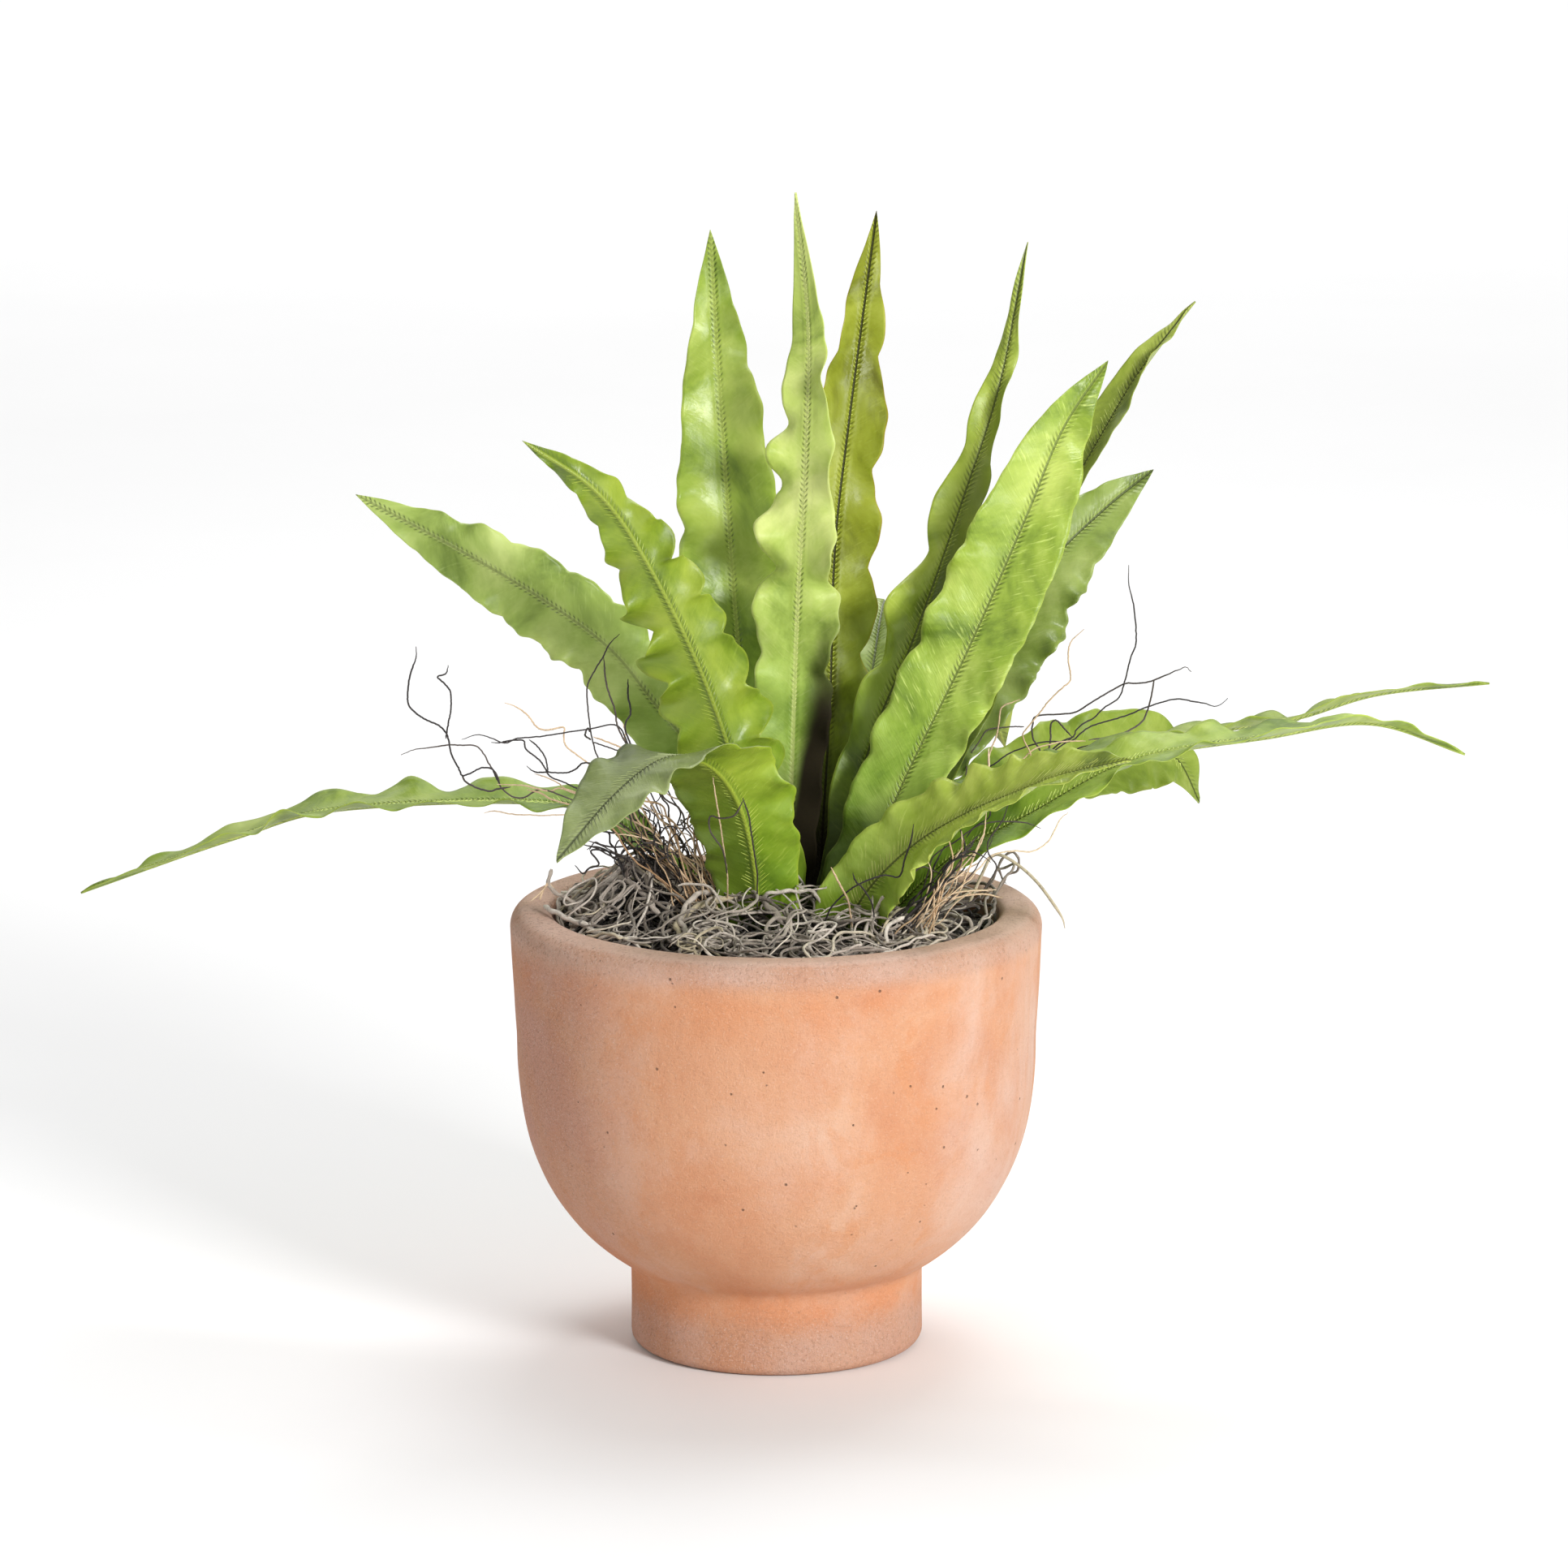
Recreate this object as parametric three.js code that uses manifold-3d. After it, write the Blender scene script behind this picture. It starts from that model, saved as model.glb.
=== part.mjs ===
// A bird's-nest fern in a footed terracotta bowl, in millimetres.
// +Z is up and the origin is the centre of the foot ring, on the surface that the pot stands on.
// The front of the plant faces -Y. Each piece is one closed mesh of its own.
import * as THREE from "three";
import { mergeVertices } from "three/addons/utils/BufferGeometryUtils.js";
import Module from "manifold-3d";

const wasm = await Module();
wasm.setup();

// Driving dimensions
const gap = 0.4; // air between pieces that touch
const pot = {
  height: 168,
  rimRadius: 100,
  rimRounding: 7,
  lipRounding: 4,
  mouthRadius: 84,
  wallRadius: 98, // where the bowl meets the upright wall
  wallFrom: 120, // height of that meeting
  bowlFrom: 20, // height at which the bowl's curve would close
  bowlPower: 2.4, // 2 is an ellipse, more is squarer
  wallThickness: 14,
  floorTop: 36,
  footRadius: 55.3,
  footRounding: 5,
  recessRadius: 40,
  recessDepth: 14,
  drainRadius: 8,
  segments: 44,
};
const mixTop = 150;
const crown = { x: 14, y: -2, radius: 25, top: 155, segments: 20 };
const moss = {
  hollowRadius: 38, // open middle, round the crown
  wallHeight: 162,
  crownDip: 6, // lower by this much at the crown
  crestHeight: 168,
  humpHeight: 13,
  humpAngle: Math.PI,
  humpSpread: 0.45, // radians
  lumps: 2,
  rings: 5,
  segments: 44,
};
const blade = {
  stations: 15,
  midribThickness: 1.8,
  marginThickness: 0.9,
  stalkWidth: 0.22, // of the full width, where the frond leaves the crown
};
const knotRadius = 3; // where a bundle of roots leaves the crown
const rootRadius = 0.6;
const rootStep = 6; // between the rings of a root
const mossStrandRadius = 1.1;
const mossStrandStep = 5;

// Fronds. midrib: points from the crown to the tip. facing: where the upper face looks, at the crown
// and at the tip. fold: how far each half rises from flat, in degrees. tip: where the taper starts.
const fronds = {
  low_left: {
    midrib: [
      [-10, -2, 157], [-46, 0, 190], [-81, 10, 205], [-165, 35, 198], [-208, 46, 184], [-268, 60, 160],
    ],
    width: 34, facing: [[-0.3, 0, 1], [0, -0.05, 1]], fold: 10,
  },
  upper_left: {
    midrib: [
      [-8, 8, 158], [-25, 10, 214], [-48, 12, 246], [-90, 28, 281], [-121, 36, 298], [-159, 45, 317],
    ],
    width: 37, facing: [[0.2, -1, 0.2], [0.1, -1, 0.3]], fold: 5, tip: 0.65,
  },
  left: {
    midrib: [
      [2, -14, 158], [-12, -20, 208], [-26, -30, 256], [-46, -40, 303], [-65, -46, 332],
      [-92, -52, 352],
    ],
    width: 35, facing: [[-0.1, 1, 0], [-0.3, 1, 0.2]], fold: 24,
  },
  curled_left: {
    midrib: [
      [-4, -24, 156], [-10, -40, 203], [-23, -62, 233], [-35, -80, 242], [-54, -102, 231],
      [-78, -125, 212],
    ],
    width: 40, facing: [[0, 1, 0], [-0.3, -0.4, 1]], fold: 14,
  },
  tall_left: {
    midrib: [[2, 8, 158], [-12, 22, 237], [-21, 48, 350], [-25, 66, 415]],
    width: 36, facing: [[0, -1, 0.2], [0, -1, 0.2]], fold: 12,
  },
  centre: {
    midrib: [[10, -6, 158], [7, -4, 226], [8, 2, 281], [11, 10, 337], [14, 18, 385], [7, 30, 433]],
    width: 33, facing: [[0, -1, 0.1], [-1, -0.7, 0.1]], fold: 10, tip: 0.5,
  },
  tall_centre: {
    midrib: [[15, 8, 158], [20, 24, 236], [22, 38, 296], [27, 48, 341], [38, 68, 422]],
    width: 29, facing: [[0.2, -1, 0.1], [0.2, -1, 0.1]], fold: 10,
  },
  right_of_centre: {
    midrib: [[21, 0, 158], [34, 6, 224], [52, 12, 269], [72, 22, 322], [84, 32, 362], [94, 44, 413]],
    width: 31, facing: [[-0.7, -0.7, 0], [-0.75, -0.6, 0.1]], fold: 30, tip: 0.5,
  },
  big_right: {
    midrib: [
      [27, -11, 158], [49, -14, 215], [72, -10, 267], [92, -4, 315], [106, 2, 348], [123, 8, 373],
    ],
    width: 37, facing: [[-0.6, -0.8, 0.2], [0.15, -1, 0.2]], fold: 20, tip: 0.65,
  },
  far_right: {
    midrib: [
      [26, 9, 158], [66, 26, 226], [90, 42, 280], [123, 62, 336], [138, 74, 359], [160, 90, 385],
    ],
    width: 32, facing: [[-0.4, -0.9, 0.3], [-0.3, -1, 0.3]], fold: 18,
  },
  right: {
    midrib: [
      [30, 17, 158], [54, 41, 208], [74, 51, 238], [87, 59, 258], [104, 68, 286], [126, 80, 306],
      [145, 88, 320],
    ],
    width: 36, facing: [[-0.6, -0.7, 0.4], [-0.3, -1, 0.4]], fold: 18,
  },
  front_right: {
    midrib: [
      [24, -24, 156], [36, -34, 182], [52, -48, 202], [69, -66, 217], [86, -82, 228], [126, -116, 247],
    ],
    width: 38, facing: [[0, -0.5, 1], [0, -0.4, 1]], fold: 12,
  },
  long_low_right: {
    midrib: [
      [34, -16, 156], [63, -28, 191], [94, -36, 211], [132, -40, 232], [180, -38, 240], [219, -32, 244],
      [255, -24, 231],
    ],
    width: 38, facing: [[0, -0.6, 1], [0, 0.12, 1]], fold: 14,
  },
  long_right: {
    midrib: [
      [37, -5, 156], [68, 2, 203], [100, 8, 217], [135, 14, 227], [166, 16, 232], [226, 16, 246],
      [268, 18, 250],
    ],
    width: 30, facing: [[0, -0.3, 1], [0, 0.1, 1]], fold: 12,
  },
  drooping_right: {
    midrib: [
      [39, 4, 156], [57, 19, 183], [72, 37, 197], [90, 54, 208], [115, 78, 214], [140, 97, 214],
      [156, 106, 208], [166, 112, 186],
    ],
    width: 36, facing: [[0, -0.3, 1], [0.8, -0.6, 0.4]], fold: 10,
  },
  back: {
    midrib: [[16, 19, 158], [26, 50, 225], [34, 105, 262], [36, 125, 227]],
    width: 34, facing: [[0, -1, 0.4], [0, 0.6, 1]], fold: 12,
  },
  back_left: {
    midrib: [[3, 17, 158], [-14, 48, 226], [-27, 104, 272], [-34, 125, 230]],
    width: 34, facing: [[0, -1, 0.4], [0, 0.6, 1]], fold: 12,
  },
  back_right: {
    midrib: [[24, 20, 157], [43, 56, 210], [76, 105, 238], [90, 125, 204]],
    width: 34, facing: [[0, -1, 0.6], [0, 0.6, 1]], fold: 12,
  },
};

// Aerial roots: each bundle is a knot and the strands that leave it.
const rootBundles = {
  dark_left: {
    knot: [-30, -12, 173],
    strands: [
      [
        [-30, -12, 173], [-46, -14, 192], [-62, -14, 205], [-79, -14, 214], [-94, -8, 211],
        [-103, -6, 215], [-107, -5, 223], [-112, -5, 230], [-122, -3, 230], [-140, -2, 226],
      ],
      [
        [-103, -6, 215], [-106, -8, 222], [-110, -7, 222], [-117, -6, 219], [-121, -6, 227],
        [-123, -5, 235], [-131, -4, 240], [-137, -4, 246], [-137, -3, 252], [-134, -2, 267],
      ],
      [[-123, -5, 235], [-121, -6, 244], [-122, -5, 252], [-126, -4, 256], [-122, -2, 260]],
      [
        [-30, -12, 173], [-43, -16, 200], [-54, -14, 230], [-60, -12, 239], [-63, -9, 254],
        [-64, -10, 265], [-58, -8, 273],
      ],
      [[-60, -12, 239], [-81, -12, 236], [-101, -10, 232], [-111, -9, 235], [-117, -8, 233]],
      [[-30, -12, 173], [-43, -16, 183], [-61, -13, 189], [-67, -12, 193], [-74, -11, 195]],
    ],
  },
  tan_left: {
    knot: [-26, -34, 172],
    strands: [
      [
        [-26, -34, 172], [-30, -28, 188], [-43, -25, 197], [-60, -22, 206], [-79, -18, 211],
        [-94, -13, 216], [-102, -11, 217],
      ],
      [[-26, -34, 172], [-32, -28, 182], [-38, -29, 195], [-45, -28, 203], [-52, -28, 214]],
      [
        [-43, -25, 197], [-56, -22, 212], [-70, -19, 224], [-79, -18, 235], [-89, -17, 238],
        [-101, -15, 247],
      ],
      [[-26, -34, 172], [-38, -38, 171], [-56, -42, 174], [-72, -38, 182]],
    ],
  },
  dark_right: {
    knot: [60, 14, 171],
    strands: [
      [
        [60, 14, 171], [72, 15, 187], [84, 20, 205], [98, 33, 220], [111, 36, 228], [128, 40, 238],
        [132, 41, 246], [136, 42, 257], [136, 43, 268], [135, 44, 283], [133, 44, 289],
      ],
      [
        [98, 33, 220], [97, 38, 227], [100, 40, 232], [121, 44, 239], [132, 46, 244], [143, 47, 246],
        [152, 48, 249], [158, 50, 248],
      ],
      [[111, 36, 228], [127, 33, 235], [142, 30, 241], [154, 28, 242], [167, 26, 240], [170, 25, 242]],
      [[60, 14, 171], [66, -2, 176], [74, -10, 184], [80, -13, 190], [82, -8, 197]],
      [[60, 14, 171], [74, 10, 176], [84, 4, 180], [88, -8, 176]],
    ],
  },
  tan_right: {
    knot: [52, -50, 172],
    strands: [
      [
        [52, -50, 172], [64, -62, 182], [78, -74, 190], [92, -80, 200], [101, -84, 202],
        [108, -88, 212],
      ],
      [[52, -50, 172], [66, -50, 178], [80, -54, 188], [90, -56, 192], [97, -60, 190]],
      [[52, -50, 172], [50, -62, 184], [45, -66, 194], [47, -75, 202]],
      [[52, -50, 172], [62, -58, 171], [74, -58, 176], [84, -50, 180]],
      [[52, -50, 172], [40, -58, 178], [30, -56, 188], [26, -54, 198]],
    ],
  },
};

// A loose moss strand that hangs over the rim.
const mossStrand = [
  [70, -26, 171], [78, -24, 178], [88, -24, 182], [96, -26, 180], [103, -28, 173], [107, -30, 165],
];

// Finishes
const terracotta = new THREE.MeshStandardMaterial({ color: 0xd8a483, roughness: 0.9, metalness: 0 });
const peat = new THREE.MeshStandardMaterial({ color: 0x2d2119, roughness: 1, metalness: 0 });
const rhizome = new THREE.MeshStandardMaterial({ color: 0x3b2c1c, roughness: 0.95, metalness: 0 });
const mossGrey = new THREE.MeshStandardMaterial({ color: 0x9a9484, roughness: 0.95, metalness: 0 });
const leaf = new THREE.MeshStandardMaterial({ color: 0x86b23f, roughness: 0.45, metalness: 0 });
const darkRoot = new THREE.MeshStandardMaterial({ color: 0x3a3533, roughness: 0.8, metalness: 0 });
const tanRoot = new THREE.MeshStandardMaterial({ color: 0xb48a66, roughness: 0.8, metalness: 0 });

const lerp = THREE.MathUtils.lerp;
const vector = (point) => new THREE.Vector3(...point);
const curveThrough = (points) => new THREE.CatmullRomCurve3(points.map(vector), false, "catmullrom", 0.5);
const group = new THREE.Group();

function addPiece(name, geometry, material) {
  geometry.computeVertexNormals();
  const mesh = new THREE.Mesh(geometry, material);
  mesh.name = name;
  group.add(mesh);
}

function indexedGeometry(points, index) {
  const geometry = new THREE.BufferGeometry();
  geometry.setAttribute("position", new THREE.Float32BufferAttribute(points.flat(), 3));
  geometry.setIndex(index);
  return geometry;
}

// Pot: the bowl's side at a height, for the outside or for the cavity
function sideRadius(z, atWall, closesAt) {
  const down = THREE.MathUtils.clamp((pot.wallFrom - z) / (pot.wallFrom - closesAt), 0, 1);
  return atWall * Math.pow(1 - Math.pow(down, pot.bowlPower), 1 / pot.bowlPower);
}
const outerRadius = (z) => sideRadius(z, pot.wallRadius, pot.bowlFrom);
const cavityRadius = (z) => sideRadius(z, pot.mouthRadius, pot.bowlFrom + pot.wallThickness);

function arcPoints(centreX, centreY, radius, fromDegrees, toDegrees, steps) {
  const points = [];
  for (let i = 0; i <= steps; i++) {
    const angle = THREE.MathUtils.degToRad(lerp(fromDegrees, toDegrees, i / steps));
    points.push(new THREE.Vector2(centreX + radius * Math.cos(angle), centreY + radius * Math.sin(angle)));
  }
  return points;
}

// Heights spaced more closely where the bowl turns in under itself
function bowlHeights(bottom, top, steps) {
  const heights = [];
  for (let i = 0; i <= steps; i++) {
    heights.push(lerp(bottom, top, Math.pow(i / steps, 1.6)));
  }
  return heights;
}

function potGeometry() {
  const { height, rimRounding, lipRounding, footRadius, footRounding } = pot;
  const footShare = Math.pow(footRadius / pot.wallRadius, pot.bowlPower);
  // the upright foot runs up until the bowl is as wide as the foot
  const footTop = lerp(pot.wallFrom, pot.bowlFrom, Math.pow(1 - footShare, 1 / pot.bowlPower));
  const bowlSide = bowlHeights(footTop, pot.wallFrom, 8).map((z) => new THREE.Vector2(outerRadius(z), z));
  const cavityHeights = bowlHeights(pot.floorTop, pot.wallFrom, 6).reverse();
  const cavitySide = cavityHeights.map((z) => new THREE.Vector2(cavityRadius(z), z));
  const profile = [
    new THREE.Vector2(pot.drainRadius, pot.recessDepth),
    new THREE.Vector2(pot.recessRadius, pot.recessDepth),
    new THREE.Vector2(pot.recessRadius, 0),
    ...arcPoints(footRadius - footRounding, footRounding, footRounding, -90, 0, 3),
    ...bowlSide,
    ...arcPoints(pot.rimRadius - rimRounding, height - rimRounding, rimRounding, 0, 90, 4),
    ...arcPoints(pot.mouthRadius + lipRounding, height - lipRounding, lipRounding, 90, 180, 3),
    ...cavitySide,
    new THREE.Vector2(pot.drainRadius, pot.floorTop),
    new THREE.Vector2(pot.drainRadius, pot.recessDepth),
  ];
  return uprightLathe(profile, pot.segments);
}

// LatheGeometry turns about Y, and the part's axis is Z
function uprightLathe(profile, segments) {
  return new THREE.LatheGeometry(profile, segments).rotateX(Math.PI / 2);
}

function mixGeometry() {
  const bottom = pot.floorTop + gap;
  const heights = bowlHeights(bottom, pot.wallFrom, 6);
  const sides = heights.map((z) => new THREE.Vector2(cavityRadius(z - gap) - gap, z));
  const profile = [
    new THREE.Vector2(0, bottom),
    ...sides,
    new THREE.Vector2(pot.mouthRadius - gap, mixTop),
    new THREE.Vector2(0, mixTop),
  ];
  return uprightLathe(profile, pot.segments);
}

function crownGeometry() {
  const bottom = mixTop + gap;
  const profile = [new THREE.Vector2(0, bottom)];
  for (const angle of [0, 30, 60, 80]) {
    const turn = THREE.MathUtils.degToRad(angle);
    const z = bottom + (crown.top - bottom) * Math.sin(turn);
    profile.push(new THREE.Vector2(crown.radius * Math.cos(turn * 0.6), z));
  }
  profile.push(new THREE.Vector2(0, crown.top));
  return uprightLathe(profile, crown.segments).translate(crown.x, crown.y, 0);
}

// Moss: a ring between the crown's hollow and the pot's wall, with a lumpy top
function mossTop(across, angle) {
  const hump = moss.humpHeight * Math.exp(-(((angle - moss.humpAngle) / moss.humpSpread) ** 2));
  const lumps = moss.lumps * Math.sin(5 * angle + 4 * across) * Math.sin(9 * angle - 3 * across);
  const crest = Math.sin(Math.PI * across);
  const rim = lerp(moss.wallHeight - moss.crownDip, moss.wallHeight, across);
  return rim + crest * (moss.crestHeight - moss.wallHeight + hump + lumps);
}

function mossGeometry() {
  const { rings, segments } = moss;
  const bottom = mixTop + gap;
  const outside = pot.mouthRadius - gap;
  const points = [];
  const index = [];
  const spot = (ring, segment, top) => {
    const across = ring / rings;
    const angle = (segment / segments) * 2 * Math.PI;
    const x = lerp(crown.x + moss.hollowRadius * Math.cos(angle), outside * Math.cos(angle), across);
    const y = lerp(crown.y + moss.hollowRadius * Math.sin(angle), outside * Math.sin(angle), across);
    return [x, y, top ? mossTop(across, angle) : bottom];
  };
  // the loop round the section: over the top outwards, then back along the bottom
  const loop = [];
  for (let ring = 0; ring <= rings; ring++) {
    loop.push([ring, true]);
  }
  loop.push([rings, false], [0, false]);
  for (let segment = 0; segment < segments; segment++) {
    for (const [ring, top] of loop) {
      points.push(spot(ring, segment, top));
    }
  }
  for (let segment = 0; segment < segments; segment++) {
    for (let k = 0; k < loop.length; k++) {
      const here = segment * loop.length;
      const next = ((segment + 1) % segments) * loop.length;
      const after = (k + 1) % loop.length;
      index.push(here + k, here + after, next + after, here + k, next + after, next + k);
    }
  }
  return indexedGeometry(points, index);
}

// Frond: share of the full width along the blade, from the stalk to the tip
function widthShare(along, tip) {
  const rise = lerp(blade.stalkWidth, 1, THREE.MathUtils.smoothstep(along, 0, 0.45));
  const taper = THREE.MathUtils.clamp((along - tip) / (1 - tip), 0, 1);
  return rise * (1 - taper * taper);
}

function frondGeometry(frond) {
  const curve = curveThrough(frond.midrib);
  const across = [-1, -0.5, 0, 0.5, 1];
  const fold = THREE.MathUtils.degToRad(frond.fold);
  const [facingCrown, facingTip] = frond.facing.map((direction) => vector(direction).normalize());
  const points = [];
  const index = [];
  const last = blade.stations - 1;
  for (let station = 0; station < last; station++) {
    const along = station / last;
    const middle = curve.getPointAt(along);
    const tangent = curve.getTangentAt(along);
    const facing = facingCrown.clone().lerp(facingTip, THREE.MathUtils.smoothstep(along, 0.1, 0.9));
    const sideways = tangent.clone().cross(facing).normalize();
    const up = sideways.clone().cross(tangent);
    const half = (frond.width / 2) * widthShare(along, frond.tip ?? 0.6);
    const surface = (share, lift) => {
      const spread = share * half * Math.cos(fold);
      const rise = Math.abs(share) * half * Math.sin(fold) + lift;
      points.push(middle.clone().addScaledVector(sideways, spread).addScaledVector(up, rise).toArray());
    };
    across.forEach((share) => surface(share, 0));
    [...across].reverse().forEach((share) => {
      surface(share, -lerp(blade.midribThickness, blade.marginThickness, Math.abs(share)));
    });
  }
  const loop = 2 * across.length;
  const tipPoint = points.push(curve.getPointAt(1).toArray()) - 1;
  for (let station = 0; station < last - 1; station++) {
    for (let k = 0; k < loop; k++) {
      const here = station * loop;
      const after = (k + 1) % loop;
      const there = here + loop;
      index.push(here + k, here + after, there + after, here + k, there + after, there + k);
    }
  }
  for (let k = 0; k < loop; k++) {
    index.push((last - 1) * loop + k, (last - 1) * loop + ((k + 1) % loop), tipPoint);
  }
  for (let k = 0; k < across.length - 1; k++) {
    const under = loop - 1 - k;
    index.push(k, under, k + 1, k + 1, under, under - 1);
  }
  return indexedGeometry(points, index);
}

// Round strand along a route
function strandGeometry(route, radius, stepLength) {
  const curve = curveThrough(route);
  const section = new THREE.Shape(arcPoints(0, 0, radius, 0, 300, 5));
  const steps = Math.max(4, Math.round(curve.getLength() / stepLength));
  return new THREE.ExtrudeGeometry(section, { steps, extrudePath: curve, bevelEnabled: false });
}

function solidOf(geometry) {
  const bare = geometry.clone();
  bare.deleteAttribute("normal");
  bare.deleteAttribute("uv");
  const merged = mergeVertices(bare, 1e-4);
  const mesh = new wasm.Mesh({
    numProp: 3,
    vertProperties: merged.attributes.position.array,
    triVerts: new Uint32Array(merged.index.array),
  });
  return new wasm.Manifold(mesh);
}

function geometryOf(solid) {
  const mesh = solid.getMesh();
  const geometry = new THREE.BufferGeometry();
  geometry.setAttribute("position", new THREE.Float32BufferAttribute(mesh.vertProperties, 3));
  geometry.setIndex([...mesh.triVerts]);
  return geometry;
}

function bundleGeometry(bundle) {
  const knot = new THREE.IcosahedronGeometry(knotRadius, 1).translate(...bundle.knot);
  const strands = bundle.strands.map((route) => solidOf(strandGeometry(route, rootRadius, rootStep)));
  return geometryOf(strands.reduce((joined, strand) => joined.add(strand), solidOf(knot)));
}

addPiece("pot", potGeometry(), terracotta);
addPiece("potting_mix", mixGeometry(), peat);
addPiece("crown", crownGeometry(), rhizome);
addPiece("spanish_moss", mossGeometry(), mossGrey);
addPiece("moss_strand_right", strandGeometry(mossStrand, mossStrandRadius, mossStrandStep), mossGrey);
for (const [name, frond] of Object.entries(fronds)) {
  addPiece("frond_" + name, frondGeometry(frond), leaf);
}
for (const [name, bundle] of Object.entries(rootBundles)) {
  addPiece("roots_" + name, bundleGeometry(bundle), name.startsWith("dark") ? darkRoot : tanRoot);
}

export default group;
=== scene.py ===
import math
import random

import bpy
import numpy as np
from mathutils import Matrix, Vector, noise


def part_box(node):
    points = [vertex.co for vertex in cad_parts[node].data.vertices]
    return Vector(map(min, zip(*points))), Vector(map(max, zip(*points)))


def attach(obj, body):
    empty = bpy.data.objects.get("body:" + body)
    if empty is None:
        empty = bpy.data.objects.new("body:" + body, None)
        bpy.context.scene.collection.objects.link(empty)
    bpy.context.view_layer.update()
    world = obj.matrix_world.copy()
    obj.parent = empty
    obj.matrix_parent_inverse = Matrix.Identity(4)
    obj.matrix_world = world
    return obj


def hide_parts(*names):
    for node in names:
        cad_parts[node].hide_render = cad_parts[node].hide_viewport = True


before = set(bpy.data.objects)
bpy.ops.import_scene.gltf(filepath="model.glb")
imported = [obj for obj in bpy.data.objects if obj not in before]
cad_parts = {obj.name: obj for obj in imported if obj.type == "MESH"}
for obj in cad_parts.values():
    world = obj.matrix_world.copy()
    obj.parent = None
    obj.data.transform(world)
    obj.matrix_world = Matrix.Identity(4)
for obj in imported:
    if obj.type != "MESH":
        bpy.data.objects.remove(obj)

mm = 0.001
fullTurn = 2 * math.pi
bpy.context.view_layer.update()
scene = bpy.context.scene
scene.view_settings.view_transform = "Standard"


def smooth(low, high, value):
    t = np.clip((value - low) / (high - low), 0, 1)
    return t * t * (3 - 2 * t)


def unit(vectors):
    return vectors / np.maximum(np.linalg.norm(vectors, axis=-1, keepdims=True), 1e-12)


def scatter(rng, spread):
    return np.array([rng.gauss(0, spread) for _ in range(3)])


def curveThrough(points):
    # a fine Catmull-Rom curve through given points, and the run along it
    points = np.asarray(points, float)
    ends = [2 * points[0] - points[1], *points, 2 * points[-1] - points[-2]]
    t = np.linspace(0, 1, 60, endpoint=False)[:, None]
    pieces = []
    for a, b, c, d in zip(ends, ends[1:], ends[2:], ends[3:]):
        inward, outward = (c - a) / 2, (d - b) / 2
        pieces.append((2 * b - 2 * c + inward + outward) * t ** 3
                      + (3 * c - 3 * b - 2 * inward - outward) * t ** 2 + inward * t + b)
    curve = np.vstack([*pieces, points[-1:]])
    return curve, np.r_[0, np.cumsum(np.linalg.norm(np.diff(curve, axis=0), axis=1))]


def evenPath(points, count):
    # the same curve as evenly spaced points
    curve, run = curveThrough(points)
    wanted = np.linspace(0, run[-1], count)
    return np.stack([np.interp(wanted, run, curve[:, k]) for k in range(3)], 1)


def ringQuads(rows, columns, closed=False):
    # quads between rows of points that close on themselves; closed joins the last row to the first
    k, j = np.meshgrid(np.arange(rows if closed else rows - 1), np.arange(columns), indexing="ij")
    after, above = (j + 1) % columns, (k + 1) % rows
    corners = [k * columns + j, k * columns + after, above * columns + after, above * columns + j]
    return np.stack(corners, -1).reshape(-1, 4)


def meshPiece(name, points, quads, materials, faceMaterial=None, maps=None):
    # maps: name of a UV map and its two numbers for each vertex
    mesh = bpy.data.meshes.new(name)
    quads = np.asarray(quads, np.int32)
    mesh.vertices.add(len(points))
    mesh.vertices.foreach_set("co", np.asarray(points, np.float32).ravel())
    mesh.loops.add(quads.size)
    mesh.loops.foreach_set("vertex_index", quads.ravel())
    mesh.polygons.add(len(quads))
    mesh.polygons.foreach_set("loop_start", np.arange(len(quads), dtype=np.int32) * 4)
    mesh.update(calc_edges=True)
    for mapName, values in (maps or {}).items():
        layer = mesh.uv_layers.new(name=mapName)
        layer.data.foreach_set("uv", np.asarray(values, np.float32)[quads.ravel()].ravel())
    for material in materials:
        mesh.materials.append(material)
    if faceMaterial is not None:
        mesh.polygons.foreach_set("material_index", np.asarray(faceMaterial, np.int32))
    mesh.polygons.foreach_set("use_smooth", np.ones(len(quads), bool))
    piece = bpy.data.objects.new(name, mesh)
    scene.collection.objects.link(piece)
    return piece


def mount(piece, node):
    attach(piece, "root")
    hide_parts(node)


def tubes(strands, sides):
    # strands: path, radii and tone. Gives points, quads, and a map of tone and place along
    points, quads, tones = [], [], []
    turn = np.arange(sides) * fullTurn / sides
    cosine, sine = np.cos(turn)[None, :, None], np.sin(turn)[None, :, None]
    first = 0
    for path, radii, tone in strands:
        count = len(path)
        ahead = unit(np.gradient(path, axis=0))
        side = np.cross(ahead[0], (0.31, 0.17, 0.93))        # no strand starts along this
        across = np.empty_like(path)
        for k in range(count):
            side = side - ahead[k] * (side @ ahead[k])
            side = side / max(np.linalg.norm(side), 1e-9)
            across[k] = side
        ring = across[:, None] * cosine + np.cross(ahead, across)[:, None] * sine
        points.append((path[:, None] + ring * np.asarray(radii)[:, None, None]).reshape(-1, 3))
        quads.append(ringQuads(count, sides) + first)
        place = np.repeat(np.linspace(0, 1, count), sides)
        tones.append(np.stack([np.full(count * sides, tone), place], 1))
        first += count * sides
    return np.vstack(points), np.vstack(quads), np.vstack(tones)


def strandPiece(name, strands, sides, material, node):
    points, quads, tones = tubes(strands, sides)
    mount(meshPiece(name, points, quads, [material], maps={"strand": tones}), node)


def tapered(count, radius, tip=0.25):
    t = np.linspace(0, 1, count)
    return radius * np.minimum(np.minimum(0.6 + t / 0.08, 1), np.minimum(tip + (1 - t) / 0.18, 1))


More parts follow.
